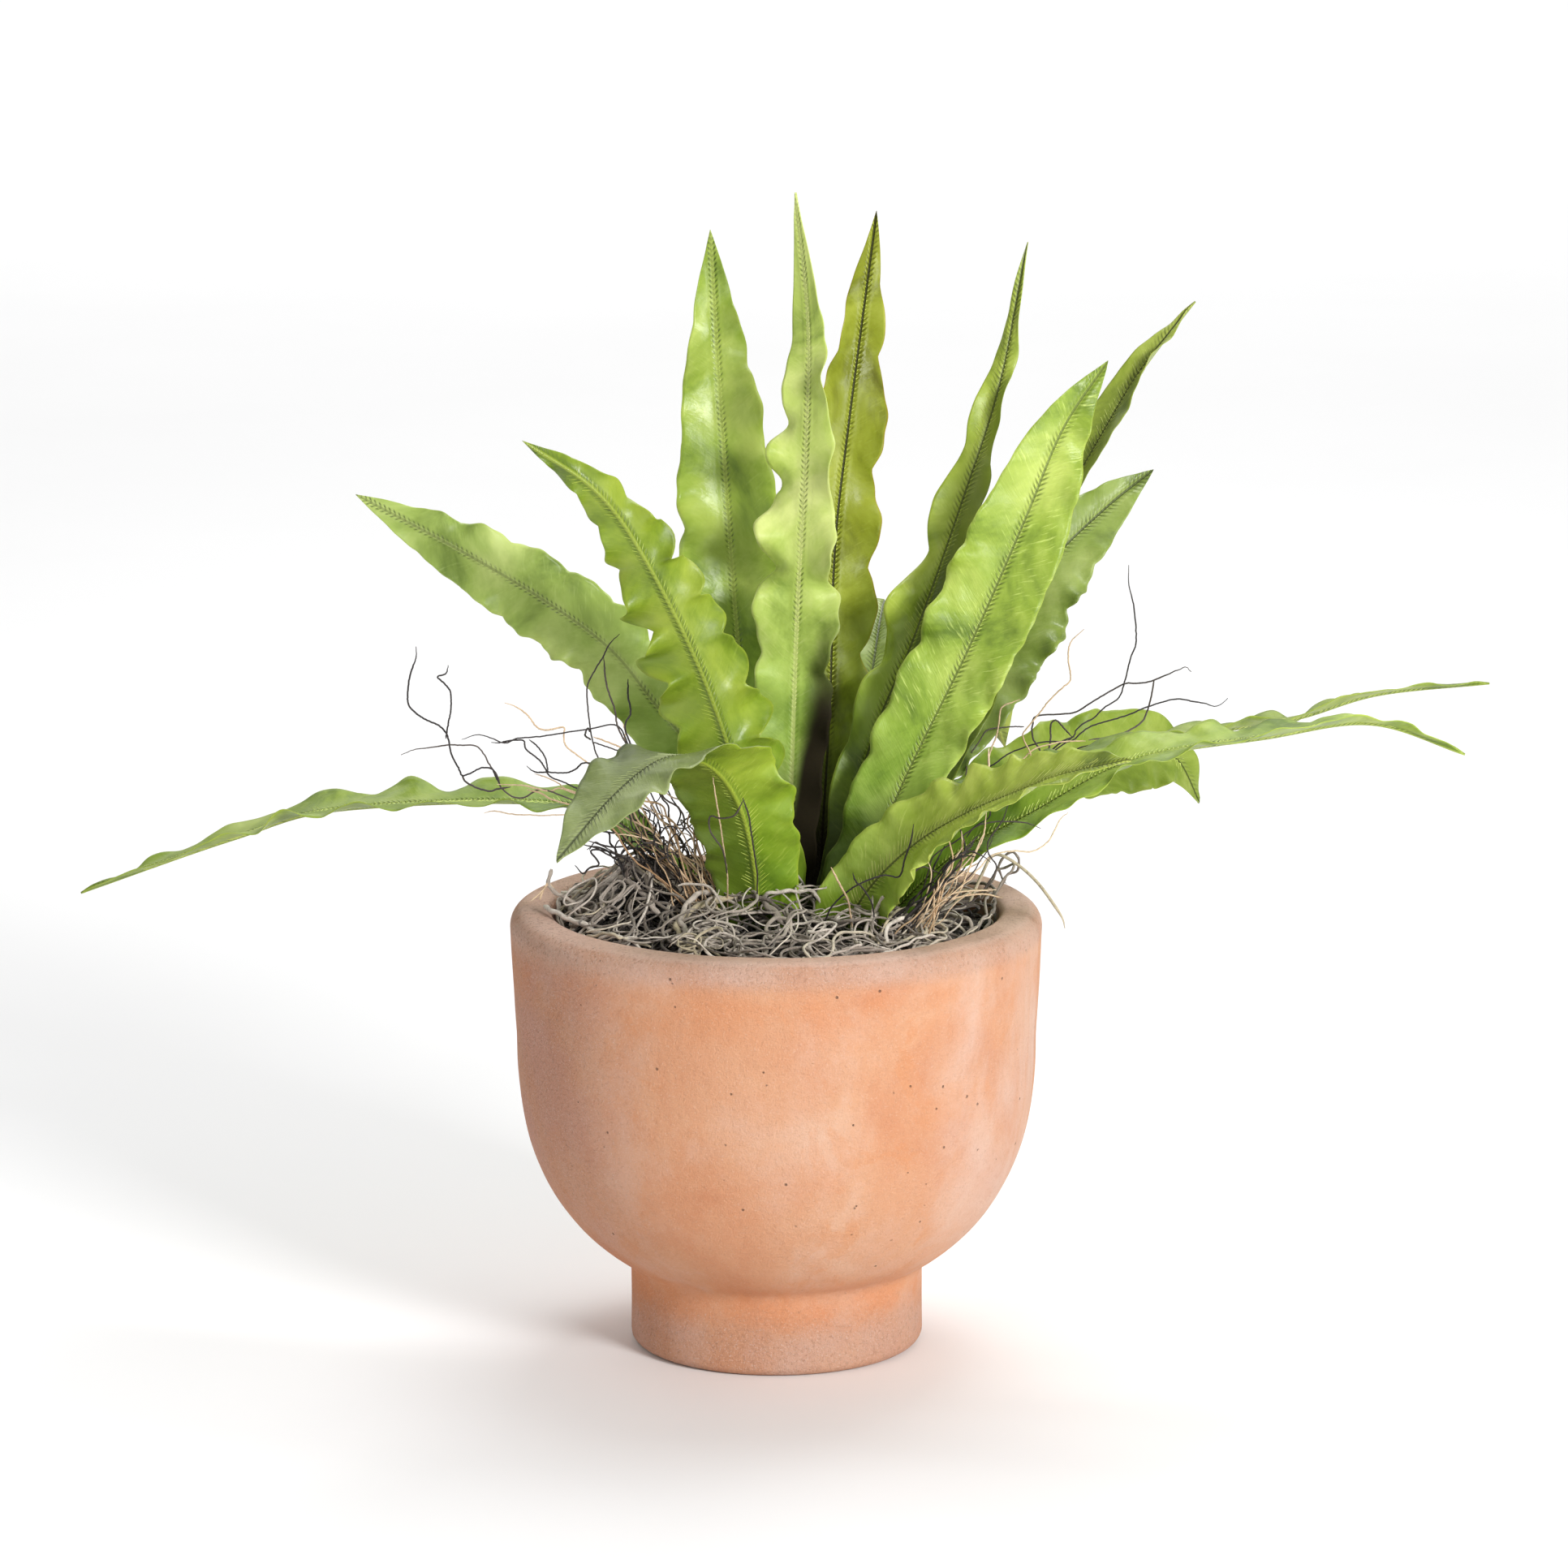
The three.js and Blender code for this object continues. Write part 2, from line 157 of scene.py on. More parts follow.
def shaded(colour, gain, extra=0.0, most=0.85):
    return tuple(min(part * gain + extra, most) for part in colour)


class Shader:
    # a material's node tree, with short ways to add the nodes used below
    def __init__(self, name, roughness, specular):
        self.material = bpy.data.materials.new(name)
        self.material.use_nodes = True
        self.tree = self.material.node_tree
        self.principled = self.tree.nodes["Principled BSDF"]
        self.principled.inputs["Roughness"].default_value = roughness
        self.principled.inputs["Specular IOR Level"].default_value = specular

    def feed(self, socket, value):
        if isinstance(value, bpy.types.NodeSocket):
            self.tree.links.new(value, socket)
        else:
            socket.default_value = value

    def add(self, kind, **inputs):
        made = self.tree.nodes.new(kind)
        for key, value in inputs.items():
            self.feed(made.inputs[key.replace("_", " ")], value)
        return made

    def place(self):
        return self.add("ShaderNodeTexCoord").outputs["Object"]

    def uv(self, mapName):
        made = self.add("ShaderNodeUVMap")
        made.uv_map = mapName
        return self.split(made.outputs["UV"])

    def split(self, vector):
        made = self.add("ShaderNodeSeparateXYZ", Vector=vector)
        return made.outputs["X"], made.outputs["Y"], made.outputs["Z"]

    def stretch(self, vector, scale):
        return self.add("ShaderNodeMapping", Vector=vector, Scale=scale).outputs["Vector"]

    def noise(self, vector, scale, detail=4, roughness=0.55, distortion=0.0):
        made = self.add("ShaderNodeTexNoise", Vector=vector, Scale=scale, Detail=detail,
                        Roughness=roughness, Distortion=distortion)
        return made.outputs["Fac"]

    def cells(self, vector, scale):
        return self.add("ShaderNodeTexVoronoi", Vector=vector, Scale=scale).outputs["Distance"]

    def ramp(self, value, stops):
        made = self.add("ShaderNodeValToRGB", Fac=value)
        bar = made.color_ramp.elements
        while len(bar) < len(stops):
            bar.new(0.5)
        for element, (position, colour) in zip(bar, stops):
            element.position = position
            element.color = (*colour, 1)
        return made.outputs["Color"]

    def span(self, value, low, high, bottom=0.0, top=1.0):
        made = self.add("ShaderNodeMapRange", Value=value, From_Min=low, From_Max=high,
                        To_Min=bottom, To_Max=top)
        made.interpolation_type = "SMOOTHSTEP"
        return made.outputs["Result"]

    def patches(self, vector, scale, detail, low, high, bottom=0.0, top=1.0):
        return self.span(self.noise(vector, scale, detail), low, high, bottom, top)

    def math(self, operation, first, second=0.0):
        made = self.tree.nodes.new("ShaderNodeMath")
        made.operation = operation
        self.feed(made.inputs[0], first)
        self.feed(made.inputs[1], second)
        return made.outputs[0]

    def times(self, first, *others):
        for other in others:
            first = self.math("MULTIPLY", first, other)
        return first

    def plus(self, first, second):
        return self.math("ADD", first, second)

    def mix(self, share, first, second, blend="MIX"):
        made = self.tree.nodes.new("ShaderNodeMix")
        made.data_type = "RGBA"
        made.blend_type = blend
        for number, value in ((0, share), (6, first), (7, second)):        # 6 and 7 are the colours
            self.feed(made.inputs[number], (*value, 1) if isinstance(value, tuple) else value)
        return made.outputs[2]

    def bump(self, height, distance, strength, under=None):
        made = self.add("ShaderNodeBump", Height=height, Distance=distance, Strength=strength)
        if under is not None:
            self.tree.links.new(under, made.inputs["Normal"])
        return made.outputs["Normal"]

    def finish(self, colour, normal=None, roughness=None):
        for key, value in (("Base Color", colour), ("Normal", normal), ("Roughness", roughness)):
            if value is not None:
                self.tree.links.new(value, self.principled.inputs[key])
        return self.material


studio = {        # lengths in metres
    "target": (0.0029, 0, 0.2145),
    "distance": 2.4,
    "elevation": 11.5,
    "lens": 147.4,
    "floorReach": 12,
    "paper": [(0, (0.90, 0.90, 0.90)), (1, (0.93, 0.93, 0.93))],
    "skyStrength": 0.36,
    "lights": {        # where it stands, where it points, its size and its watts
        "keyLight": ((1.5, -2.05, 1.2), (0, 0, 0.2), 0.7, 62),
        "fillLight": ((-1.9, -1.6, 0.9), (0, 0, 0.2), 1.6, 5),
        "topLight": ((0.3, 0.9, 2.2), (0, 0, 0.2), 1.2, 26),
        "backdropLight": ((0, 5.5, 3.0), (0, 5.5, 0), 6.0, 172),
    },
}


def pointed(name, data, place, target):
    made = bpy.data.objects.new(name, data)
    scene.collection.objects.link(made)
    made.location = place
    made.rotation_mode = "QUATERNION"
    made.rotation_quaternion = (Vector(target) - Vector(place)).to_track_quat("-Z", "Y")
    return made


def makeStudio():
    tilt = math.radians(studio["elevation"])
    back = Vector((0, -math.cos(tilt), math.sin(tilt)))
    stand = Vector(studio["target"]) + back * studio["distance"]
    camera = pointed("camera", bpy.data.cameras.new("camera"), stand, studio["target"])
    camera.data.lens = studio["lens"]
    scene.camera = camera

    edge = studio["floorReach"]
    corners = [(-edge, -edge, 0), (edge, -edge, 0), (edge, edge, 0), (-edge, edge, 0)]
    paper = Shader("paperFloor", 0.9, 0.1)
    shade = paper.ramp(paper.noise(paper.place(), 3), studio["paper"])
    floor = meshPiece("floor", corners, [(0, 1, 2, 3)], [paper.finish(shade)])

    scene.world = scene.world or bpy.data.worlds.new("studio")
    scene.world.use_nodes = True
    sky = scene.world.node_tree.nodes["Background"].inputs
    sky["Color"].default_value = (1, 1, 1, 1)
    sky["Strength"].default_value = studio["skyStrength"]
    for name, (place, target, size, watts) in studio["lights"].items():
        light = pointed(name, bpy.data.lights.new(name, "AREA"), place, target)
        light.data.size = size
        light.data.energy = watts


makeStudio()
print("studio ready")


bowl = {        # lengths in millimetres
    "rimRadius": 100,
    "rimRounding": 6.5,
    "lipRounding": 3.5,
    "mouthRadius": 84,
    "wallRadius": 98,
    "wallFrom": 120,        # height where the wall starts to curve in
    "bowlFrom": 20,         # height where the curve would close
    "bowlPower": 2.4,
    "wallThickness": 14,
    "floorTop": 36,
    "footRadius": 55.3,
    "footRounding": 5,
    "footFillet": 3.5,
    "recessRadius": 40,
    "recessDepth": 14,
    "drainRadius": 8,
    "chamfer": 2,
    "wobble": 0.35,
    "trueBelow": 3,         # the standing ring and the drain hole don't wobble
    "trueWithin": 20,
    "turns": 220,
    # colours of the clay, of what lies on it, and of a painted highlight on the rim
    "clay": [(0.30, (0.66, 0.27, 0.135)), (0.45, (0.72, 0.34, 0.185)), (0.60, (0.76, 0.40, 0.235)),
             (0.74, (0.80, 0.49, 0.33))],
    "stain": (0.74, 0.31, 0.135),
    "bloom": (0.84, 0.66, 0.57),
    "dust": (0.69, 0.36, 0.27),
    "rimDust": (0.79, 0.52, 0.41),
    # painted highlight along the top of the rim
    "rimHighlight": (0.95, 0.69, 0.58),
    "footDust": (0.74, 0.46, 0.36),
    "ochre": (0.74, 0.29, 0.12),
    "darkSand": (0.42, 0.19, 0.115),
    "paleSand": (0.88, 0.70, 0.60),
    "pit": (0.16, 0.09, 0.06),
}


def bowlRadius(z, atWall, closesAt):
    down = min(max((bowl["wallFrom"] - z) / (bowl["wallFrom"] - closesAt), 0), 1)
    return atWall * (1 - down ** bowl["bowlPower"]) ** (1 / bowl["bowlPower"])


def arc(x, z, radius, start, end, steps):
    angles = np.radians(np.linspace(start, end, steps))
    return [(x + radius * math.cos(a), z + radius * math.sin(a)) for a in angles]


def bowlProfile(height):
    # radius and height: from the drain hole under the foot, up outside, over the rim and down inside
    foot, footRounding, fillet = bowl["footRadius"], bowl["footRounding"], bowl["footFillet"]
    wall, wallFrom, closesAt = bowl["wallRadius"], bowl["wallFrom"], bowl["bowlFrom"]
    rim, rimRounding = bowl["rimRadius"], bowl["rimRounding"]
    mouth, lipRounding = bowl["mouthRadius"], bowl["lipRounding"]
    recess, deep = bowl["recessRadius"], bowl["recessDepth"]
    drain, chamfer = bowl["drainRadius"], bowl["chamfer"]
    footTop = next(z for z in np.arange(22, 60, 0.1) if bowlRadius(z, wall, closesAt) > foot)
    outside = [(bowlRadius(z, wall, closesAt), z) for z in np.linspace(footTop + fillet * 0.7, wallFrom, 46)]
    rise = height - rimRounding - wallFrom
    upright = [(wall + (rim - wall) * t, wallFrom + rise * t) for t in np.linspace(0.06, 0.94, 14)]
    inside = [(bowlRadius(z, mouth, closesAt + bowl["wallThickness"]), z)
              for z in np.linspace(wallFrom, bowl["floorTop"], 24)]
    return [
        (drain, deep), (recess - chamfer, deep), (recess, deep - chamfer), (recess, 1), (recess + 1, 0),
        *arc(foot - footRounding, footRounding, footRounding, -90, 0, 8),
        *[(foot, z) for z in np.linspace(footRounding + 3, footTop - fillet, 7)],
        (foot + 0.5, footTop - fillet * 0.35), (foot + 2.0, footTop + fillet * 0.3),
        *outside, *upright,
        *arc(rim - rimRounding, height - rimRounding, rimRounding, 0, 90, 10),
        *arc(mouth + lipRounding, height - lipRounding, lipRounding, 95, 180, 8),
        (mouth, height - 20), (mouth, height - 34),
        *inside, (drain, bowl["floorTop"]),
    ]


def weathered(s, place, z, top, sides):
    # the clay's own colour, then its stains, bloom and dust, and a painted highlight along the top of the
    # rim
    leftward, rightward, rimward, footward = sides
    clay = s.noise(place, 15, 6, 0.62, 0.5)
    colour = s.ramp(clay, bowl["clay"])
    stains = s.noise(s.stretch(place, (1, 1, 0.75)), 27, 7, 0.66, 0.9)        # with firm edges
    colour = s.mix(s.span(stains, 0.55, 0.60, 0.0, 0.42), colour, bowl["stain"])
    clouds = s.noise(s.stretch(place, (1, 1, 0.7)), 22, 6, 0.65, 0.3)
    runs = s.noise(s.stretch(place, (1, 1, 0.22)), 21, 5, 0.6, 0.4)        # down one side
    drawn = s.times(rightward, s.span(runs, 0.42, 0.66), 0.55)
    bloom = s.plus(s.times(s.span(clouds, 0.44, 0.70), 0.26), drawn)
    colour = s.mix(bloom, colour, bowl["bloom"])
    belowRim = s.span(z, top - 0.004, top - 0.016, 0.1, 1)
    dust = s.times(leftward, belowRim, s.patches(place, 34, 5, 0.34, 0.62, 0.30, 0.85))
    colour = s.mix(dust, colour, bowl["dust"])
    rimDust = s.times(rimward, s.patches(place, 48, 5, 0.35, 0.65, 0.40, 0.80))
    colour = s.mix(rimDust, colour, bowl["rimDust"])
    # painted highlight: paler along the very top of the rim, where it faces the light
    colour = s.mix(s.span(z, top - 0.0018, top - 0.0003, 0.0, 0.5), colour, bowl["rimHighlight"])
    footDust = s.times(footward, s.patches(place, 38, 5, 0.35, 0.65, 0.15, 0.60))
    colour = s.mix(footDust, colour, bowl["footDust"])
    # ochre where the bowl meets its foot and just under the rim
    joint = s.times(s.span(z, 0.047, 0.026), s.span(z, 0.012, 0.024))
    collar = s.times(s.span(z, top - 0.010, top - 0.016), s.span(z, top - 0.040, top - 0.018), 0.7)
    ochre = s.times(s.math("MAXIMUM", joint, collar), s.patches(place, 44, 4, 0.38, 0.60, 0.0, 0.60))
    return s.mix(ochre, colour, bowl["ochre"]), s.span(clay, 0.3, 0.7, 0.82, 0.95)


def terracotta(top):
    s = Shader("terracotta", 0.88, 0.25)
    place = s.place()
    x, _, z = s.split(place)
    leftward, rightward = s.span(x, -0.035, -0.100), s.span(x, 0.045, 0.095)
    rimward, footward = s.span(z, top - 0.012, top - 0.005), s.span(z, 0.030, 0.012)
    colour, roughness = weathered(s, place, z, top, (leftward, rightward, rimward, footward))
    # dark and pale sand, thicker on the rim, the foot and the dusty side
    thicker = s.plus(s.times(leftward, 0.52), s.times(s.math("MAXIMUM", rimward, footward), 0.45))
    coarse = s.plus(0.28, thicker)
    sand, grain = s.noise(place, 640, 5, 0.78), s.noise(place, 1500, 3, 0.7)
    colour = s.mix(s.times(s.span(sand, 0.50, 0.36, 0.0, 0.50), coarse), colour, bowl["darkSand"])
    colour = s.mix(s.times(s.span(grain, 0.54, 0.68, 0.0, 0.70), coarse), colour, bowl["paleSand"])
    pits = s.times(s.span(s.cells(place, 230), 0.14, 0.07), s.patches(place, 120, 2, 0.60, 0.66))
    colour = s.mix(s.times(pits, 0.7), colour, bowl["pit"])
    normal = s.bump(grain, 0.0007, 0.6)
    normal = s.bump(s.times(sand, coarse), 0.0042, 0.66, normal)
    normal = s.bump(s.noise(s.stretch(place, (1, 1, 0.12)), 420, 3), 0.0006, 0.18, normal)        # brushed
    normal = s.bump(s.noise(place, 110, 5, 0.62), 0.0019, 0.36, normal)
    return s.finish(colour, s.bump(pits, -0.0014, 0.9, normal), roughness)


def makeBowl():
    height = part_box("pot")[1].z / mm
    profile, turns, wobble = bowlProfile(height), bowl["turns"], bowl["wobble"]
    points = np.empty((len(profile), turns, 3))
    for row, (radius, z) in enumerate(profile):
        share = 0 if z < bowl["trueBelow"] or radius < bowl["trueWithin"] else 1
        for column in range(turns):
            angle = column * fullTurn / turns
            x, y = math.cos(angle), math.sin(angle)
            sway = noise.noise(Vector((x * 1.6, y * 1.6, z / 45)))
            sway += 0.4 * noise.noise(Vector((x * 6, y * 6, z / 14)))
            r = radius - wobble * share * (0.6 + sway)
            lift = wobble * share * noise.noise(Vector((x * 2, y * 2, 9))) if z > height - 10 else 0
            points[row, column] = (r * x, r * y, min(z + lift, height))
    quads = ringQuads(len(profile), turns, closed=True)
    piece = meshPiece("terracottaBowl", points.reshape(-1, 3) * mm, quads, [terracotta(height * mm)])
    mount(piece, "pot")


makeBowl()
print("bowl ready")


# potting mix and crown keep their CAD shape. Name of the finish, its darkest and its palest colour
darkFinishes = {
    "potting_mix": ("pottingMix", (0.012, 0.008, 0.006), (0.06, 0.04, 0.028)),
    "crown": ("rhizome", (0.015, 0.010, 0.006), (0.085, 0.055, 0.03)),
}


def crumbly(name, low, high):
    s = Shader(name, 0.95, 0.2)
    place = s.place()
    fibres = s.noise(place, 190, 6, 0.7)
    colour = s.ramp(fibres, [(0.3, low), (0.7, high)])
    return s.finish(colour, s.bump(fibres, 0.004, 0.9, s.bump(s.cells(place, 260), 0.003, 0.8)))


for node, finish in darkFinishes.items():
    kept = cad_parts[node]
    kept.data.materials.clear()
    kept.data.materials.append(crumbly(*finish))
print("mix and crown ready")


# Fronds, lengths in millimetres. midrib: points from the crown to the tip. facing: where the upper face
# looks, at the crown and at the tip. fold: degrees that the halves rise. ruffle and waves: height and
# number of the waves. This is what a frond has where its own entry says nothing else:
usualFrond = {
    "base": 0.34,       # width at the crown, as a share of the full width
    "tip": 0.6,         # where the taper starts, as a share of the length
    "scallop": 0.06,    # depth of the round lobes, as a share of the half width
    "skew": 0.0,        # lean of the lobes along the margin
    "teeth": 1.0,       # size of the small waves and dents
    "calm": 0.9,        # where the waves die away
    "phase": 0,         # where the waves start
    "rib": 1.1,         # height of the midrib below
    "line": 0.8,        # depth and darkness of the midrib's groove
    "barbs": 1.0,       # length of the barbs
    "veins": 0.0,       # strength of the side veins
    "tone": "fresh",    # finish of the leaf
    "under": None,      # finish of the lower face, where it differs
    "margin": None,     # colour of the very edge, where it isn't the bright green
    "gain": 1.0,        # brightness
    "gloss": 0.45,
    "shade": 0.0,       # painted shade low down by the crown, where the fronds crowd
    "lean": 0.0,        # how much further that painted shade reaches on one half
    "dim": 0.0,         # painted shade on the half that is turned away from the light
}
fronds = {
    "low_left": dict(
        midrib=[(-10, -4, 156), (-46, 0, 190), (-81, 10, 205), (-165, 35, 198), (-208, 46, 184),
                (-268, 60, 160)],
        facing=[(-.3, 0, 1), (0, -.02, 1)], width=34, fold=11, ruffle=2.7, waves=9, phase=.4, teeth=.5,
        gain=.78, gloss=.15),
    "upper_left": dict(
        midrib=[(-6, 4, 158), (-25, 8, 214), (-48, 12, 246), (-64, 18, 264), (-90, 28, 281),
                (-121, 36, 298), (-159, 45, 317)],
        facing=[(.2, -1, .2), (.1, -1, .3)], width=31, fold=5, ruffle=3.2, waves=11, phase=1.4, base=.6,
        scallop=.10, tone="grey", shade=.2, gain=1.38, line=.40, barbs=.25),
    "left": dict(
        midrib=[(2, -16, 158), (-8, -22, 200), (-25, -30, 256), (-46, -40, 303), (-65, -46, 332),
                (-92, -52, 352)],
        facing=[(-.1, 1, 0), (-.3, 1, .2)], width=37, fold=22, ruffle=7.5, waves=11, phase=.2, base=.85,
        tip=.34, scallop=.30, skew=-.8, teeth=.3, tone="lime", shade=.2, gain=.94, barbs=.8),
    "curled_left": dict(
        midrib=[(-6, -22, 156), (-8, -34, 190), (-14, -48, 218), (-25, -66, 236), (-40, -83, 241),
                (-57, -101, 232), (-78, -125, 212)],
        facing=[(0, 1, 0), (-.10, -.34, 1)], width=40, fold=6, ruffle=2.4, waves=8.5, phase=2.2, base=.72,
        tip=.62, scallop=.09, tone="dusty", under="lime", dim=.72, veins=.5, rib=1.7, gain=1.08, barbs=1.2),
    "tall_left": dict(
        midrib=[(0, 8, 158), (-12, 22, 237), (-21, 48, 350), (-25, 66, 415)],
        facing=[(0, -1, .2), (0, -1, .2)], width=39, fold=12, ruffle=5, waves=8, phase=.9, scallop=.09,
        tip=.5, shade=.95, gain=.92, lean=.22, line=.15, barbs=.35),
    "centre": dict(
        midrib=[(4, -2, 158), (6, -4, 226), (8, 2, 281), (11, 10, 337), (12, 18, 385), (7, 30, 433)],
        facing=[(0, -1, .1), (-.75, -.9, .1)], width=30, fold=10, ruffle=6, waves=9.5, base=.6, tip=.36,
        scallop=.15, calm=.72, tone="pale", shade=1.0, gain=.95, gloss=.2, lean=.2, line=.1, barbs=.35),
    "tall_centre": dict(
        midrib=[(15, 8, 158), (20, 24, 236), (22, 38, 296), (27, 48, 341), (38, 68, 422)],
        facing=[(.2, -1, .1), (.2, -1, .1)], width=30, fold=10, ruffle=5, waves=8, phase=2, tip=.5,
        scallop=.21, teeth=.5, tone="yellow", shade=1.0, gain=.90, gloss=.25, line=1.0, barbs=.5,
        margin=(.50, .30, .02)),
    "right_of_centre": dict(
        midrib=[(20, 0, 158), (34, 6, 224), (52, 12, 269), (71, 22, 322), (84, 32, 362), (94, 44, 413)],
        facing=[(-.35, -.9, .1), (-.5, -.8, .1)], width=21, fold=20, ruffle=5, waves=6.5, phase=1, tip=.36,
        base=.8, scallop=.20, teeth=.5, calm=.82, tone="olive", shade=.6, gain=1.3, dim=.95),
    "big_right": dict(
        midrib=[(24, -12, 158), (46, -14, 215), (71, -10, 267), (92, -4, 315), (106, 2, 348),
                (123, 8, 373)],
        facing=[(-.6, -.8, .2), (.15, -1, .2)], width=38, fold=15, ruffle=3, waves=10, phase=.6, base=.8,
        scallop=.05, veins=1.0, shade=.6, line=.6, barbs=.8),
    "far_right": dict(
        midrib=[(26, 8, 158), (66, 26, 226), (90, 42, 280), (105, 50, 307), (123, 62, 336), (138, 74, 359),
                (160, 90, 385)],
        facing=[(-.4, -.9, .3), (-.75, -.6, .3)], width=33, fold=28, ruffle=3.2, waves=7, tip=.44,
        scallop=.10, tone="olive", shade=.7, dim=.5),
    "right": dict(
        midrib=[(30, 16, 158), (54, 41, 208), (74, 51, 238), (87, 59, 258), (104, 68, 286), (126, 80, 306),
                (145, 88, 320)],
        facing=[(-.5, -.8, .4), (.2, -1, .5)], width=38, fold=14, ruffle=4, waves=11, scallop=.10,
        tone="grey", shade=.6, dim=.3),
    "front_right": dict(
        midrib=[(22, -24, 156), (33, -34, 180), (50, -48, 201), (69, -66, 217), (86, -82, 228),
                (103, -98, 238), (126, -116, 247)],
        facing=[(0, -.9, .7), (0, -.5, 1)], width=36, fold=14, ruffle=1.7, waves=10, base=.8, scallop=.07,
        tone="olive", veins=.5, gain=1.3, barbs=1.4),
    "long_low_right": dict(
        midrib=[(32, -16, 156), (63, -28, 191), (94, -36, 211), (132, -40, 232), (180, -38, 240),
                (219, -32, 244), (255, -24, 231)],
        facing=[(0, -.6, 1), (0, .20, 1)], width=32, fold=12, ruffle=1.9, waves=10, base=.6, scallop=.07,
        gain=.93, gloss=.2),
    "long_right": dict(
        midrib=[(34, -2, 156), (68, 2, 203), (100, 8, 217), (135, 14, 227), (166, 16, 232), (196, 16, 237),
                (226, 16, 246), (268, 18, 250)],
        facing=[(0, -.1, 1), (0, .22, 1)], width=28, fold=8, ruffle=2.2, waves=9, gain=.7, gloss=.15),
    "drooping_right": dict(
        midrib=[(38, 4, 156), (57, 19, 182), (72, 37, 194), (90, 54, 203), (115, 78, 208), (140, 97, 208),
                (156, 106, 203), (166, 112, 184)],
        facing=[(0, -.2, 1), (.8, -.6, .4)], width=34, fold=6, ruffle=3.2, waves=9, tip=.75, gain=.7,
        gloss=.2),
    "back": dict(
        midrib=[(18, 19, 158), (33, 50, 226), (42, 104, 266), (44, 125, 229)],
        facing=[(0, -1, .4), (0, .6, 1)], width=34, fold=12, ruffle=3.4, waves=8, tone="grey", gain=1.2),
    "back_left": dict(
        midrib=[(3, 17, 158), (-14, 48, 226), (-27, 104, 272), (-34, 125, 230)],
        facing=[(0, -1, .4), (0, .6, 1)], width=34, fold=12, ruffle=3.4, waves=8, phase=1),
    "back_right": dict(
        midrib=[(24, 20, 157), (43, 56, 210), (76, 105, 238), (90, 125, 204)],
        facing=[(0, -1, .6), (0, .6, 1)], width=34, fold=12, ruffle=3.4, waves=8, phase=2, tone="olive"),
}
blade = {        # lengths in millimetres
    "stations": 210,
    "across": 27,
    "thickness": 0.55,
    "edgeThinning": 0.55,
    "groove": 0.40,
    "grooveWidth": 0.5,
    "crest": 0.40,              # height of the midrib above, where a frond has no groove
    "shoulder": (0.3, 1.5, 0.8),        # soft swelling beside the groove: height, place and width
    "ridgeWidth": 1.05,
    "lobeTurn": 1.3,            # the lobes run ahead of the waves by this much of a turn, in radians
    "otherHalf": 2.1,           # and one half's waves ahead of the other half's
    "barbSpacing": 1.75,
    "barbHeight": 0.48,
    "barbWidth": 0.60,
    "barbReach": (1.3, 2.5, 2.8),       # shortest, longest, and how much more where they swell
    "barbStart": 0.45,          # distance from the midrib
    "barbRange": (0.07, 0.9),   # shares of the length between which barbs grow
    # colours
    "crownTint": (0.60, 0.84, 0.50),
    # painted shade by the crown
    "crownShadeColour": (0.015, 0.011, 0.004),
    # painted shade at each frond's base, down in the moss
    "stalk": (0.022, 0.018, 0.010),
}
# leaf finishes: shaded green, middle green, bright green
leafTones = {
    "fresh": ((0.13, 0.21, 0.018), (0.30, 0.42, 0.047), (0.52, 0.63, 0.13)),
    "lime": ((0.10, 0.165, 0.010), (0.23, 0.325, 0.022), (0.40, 0.49, 0.055)),
    "olive": ((0.12, 0.165, 0.016), (0.26, 0.33, 0.036), (0.41, 0.47, 0.09)),
    "yellow": ((0.13, 0.14, 0.010), (0.29, 0.33, 0.025), (0.46, 0.51, 0.07)),
    "grey": ((0.13, 0.19, 0.030), (0.27, 0.36, 0.075), (0.43, 0.51, 0.16)),
    "pale": ((0.26, 0.36, 0.060), (0.48, 0.60, 0.13), (0.70, 0.78, 0.27)),
    "dusty": ((0.095, 0.125, 0.032), (0.19, 0.235, 0.075), (0.30, 0.35, 0.14)),
}


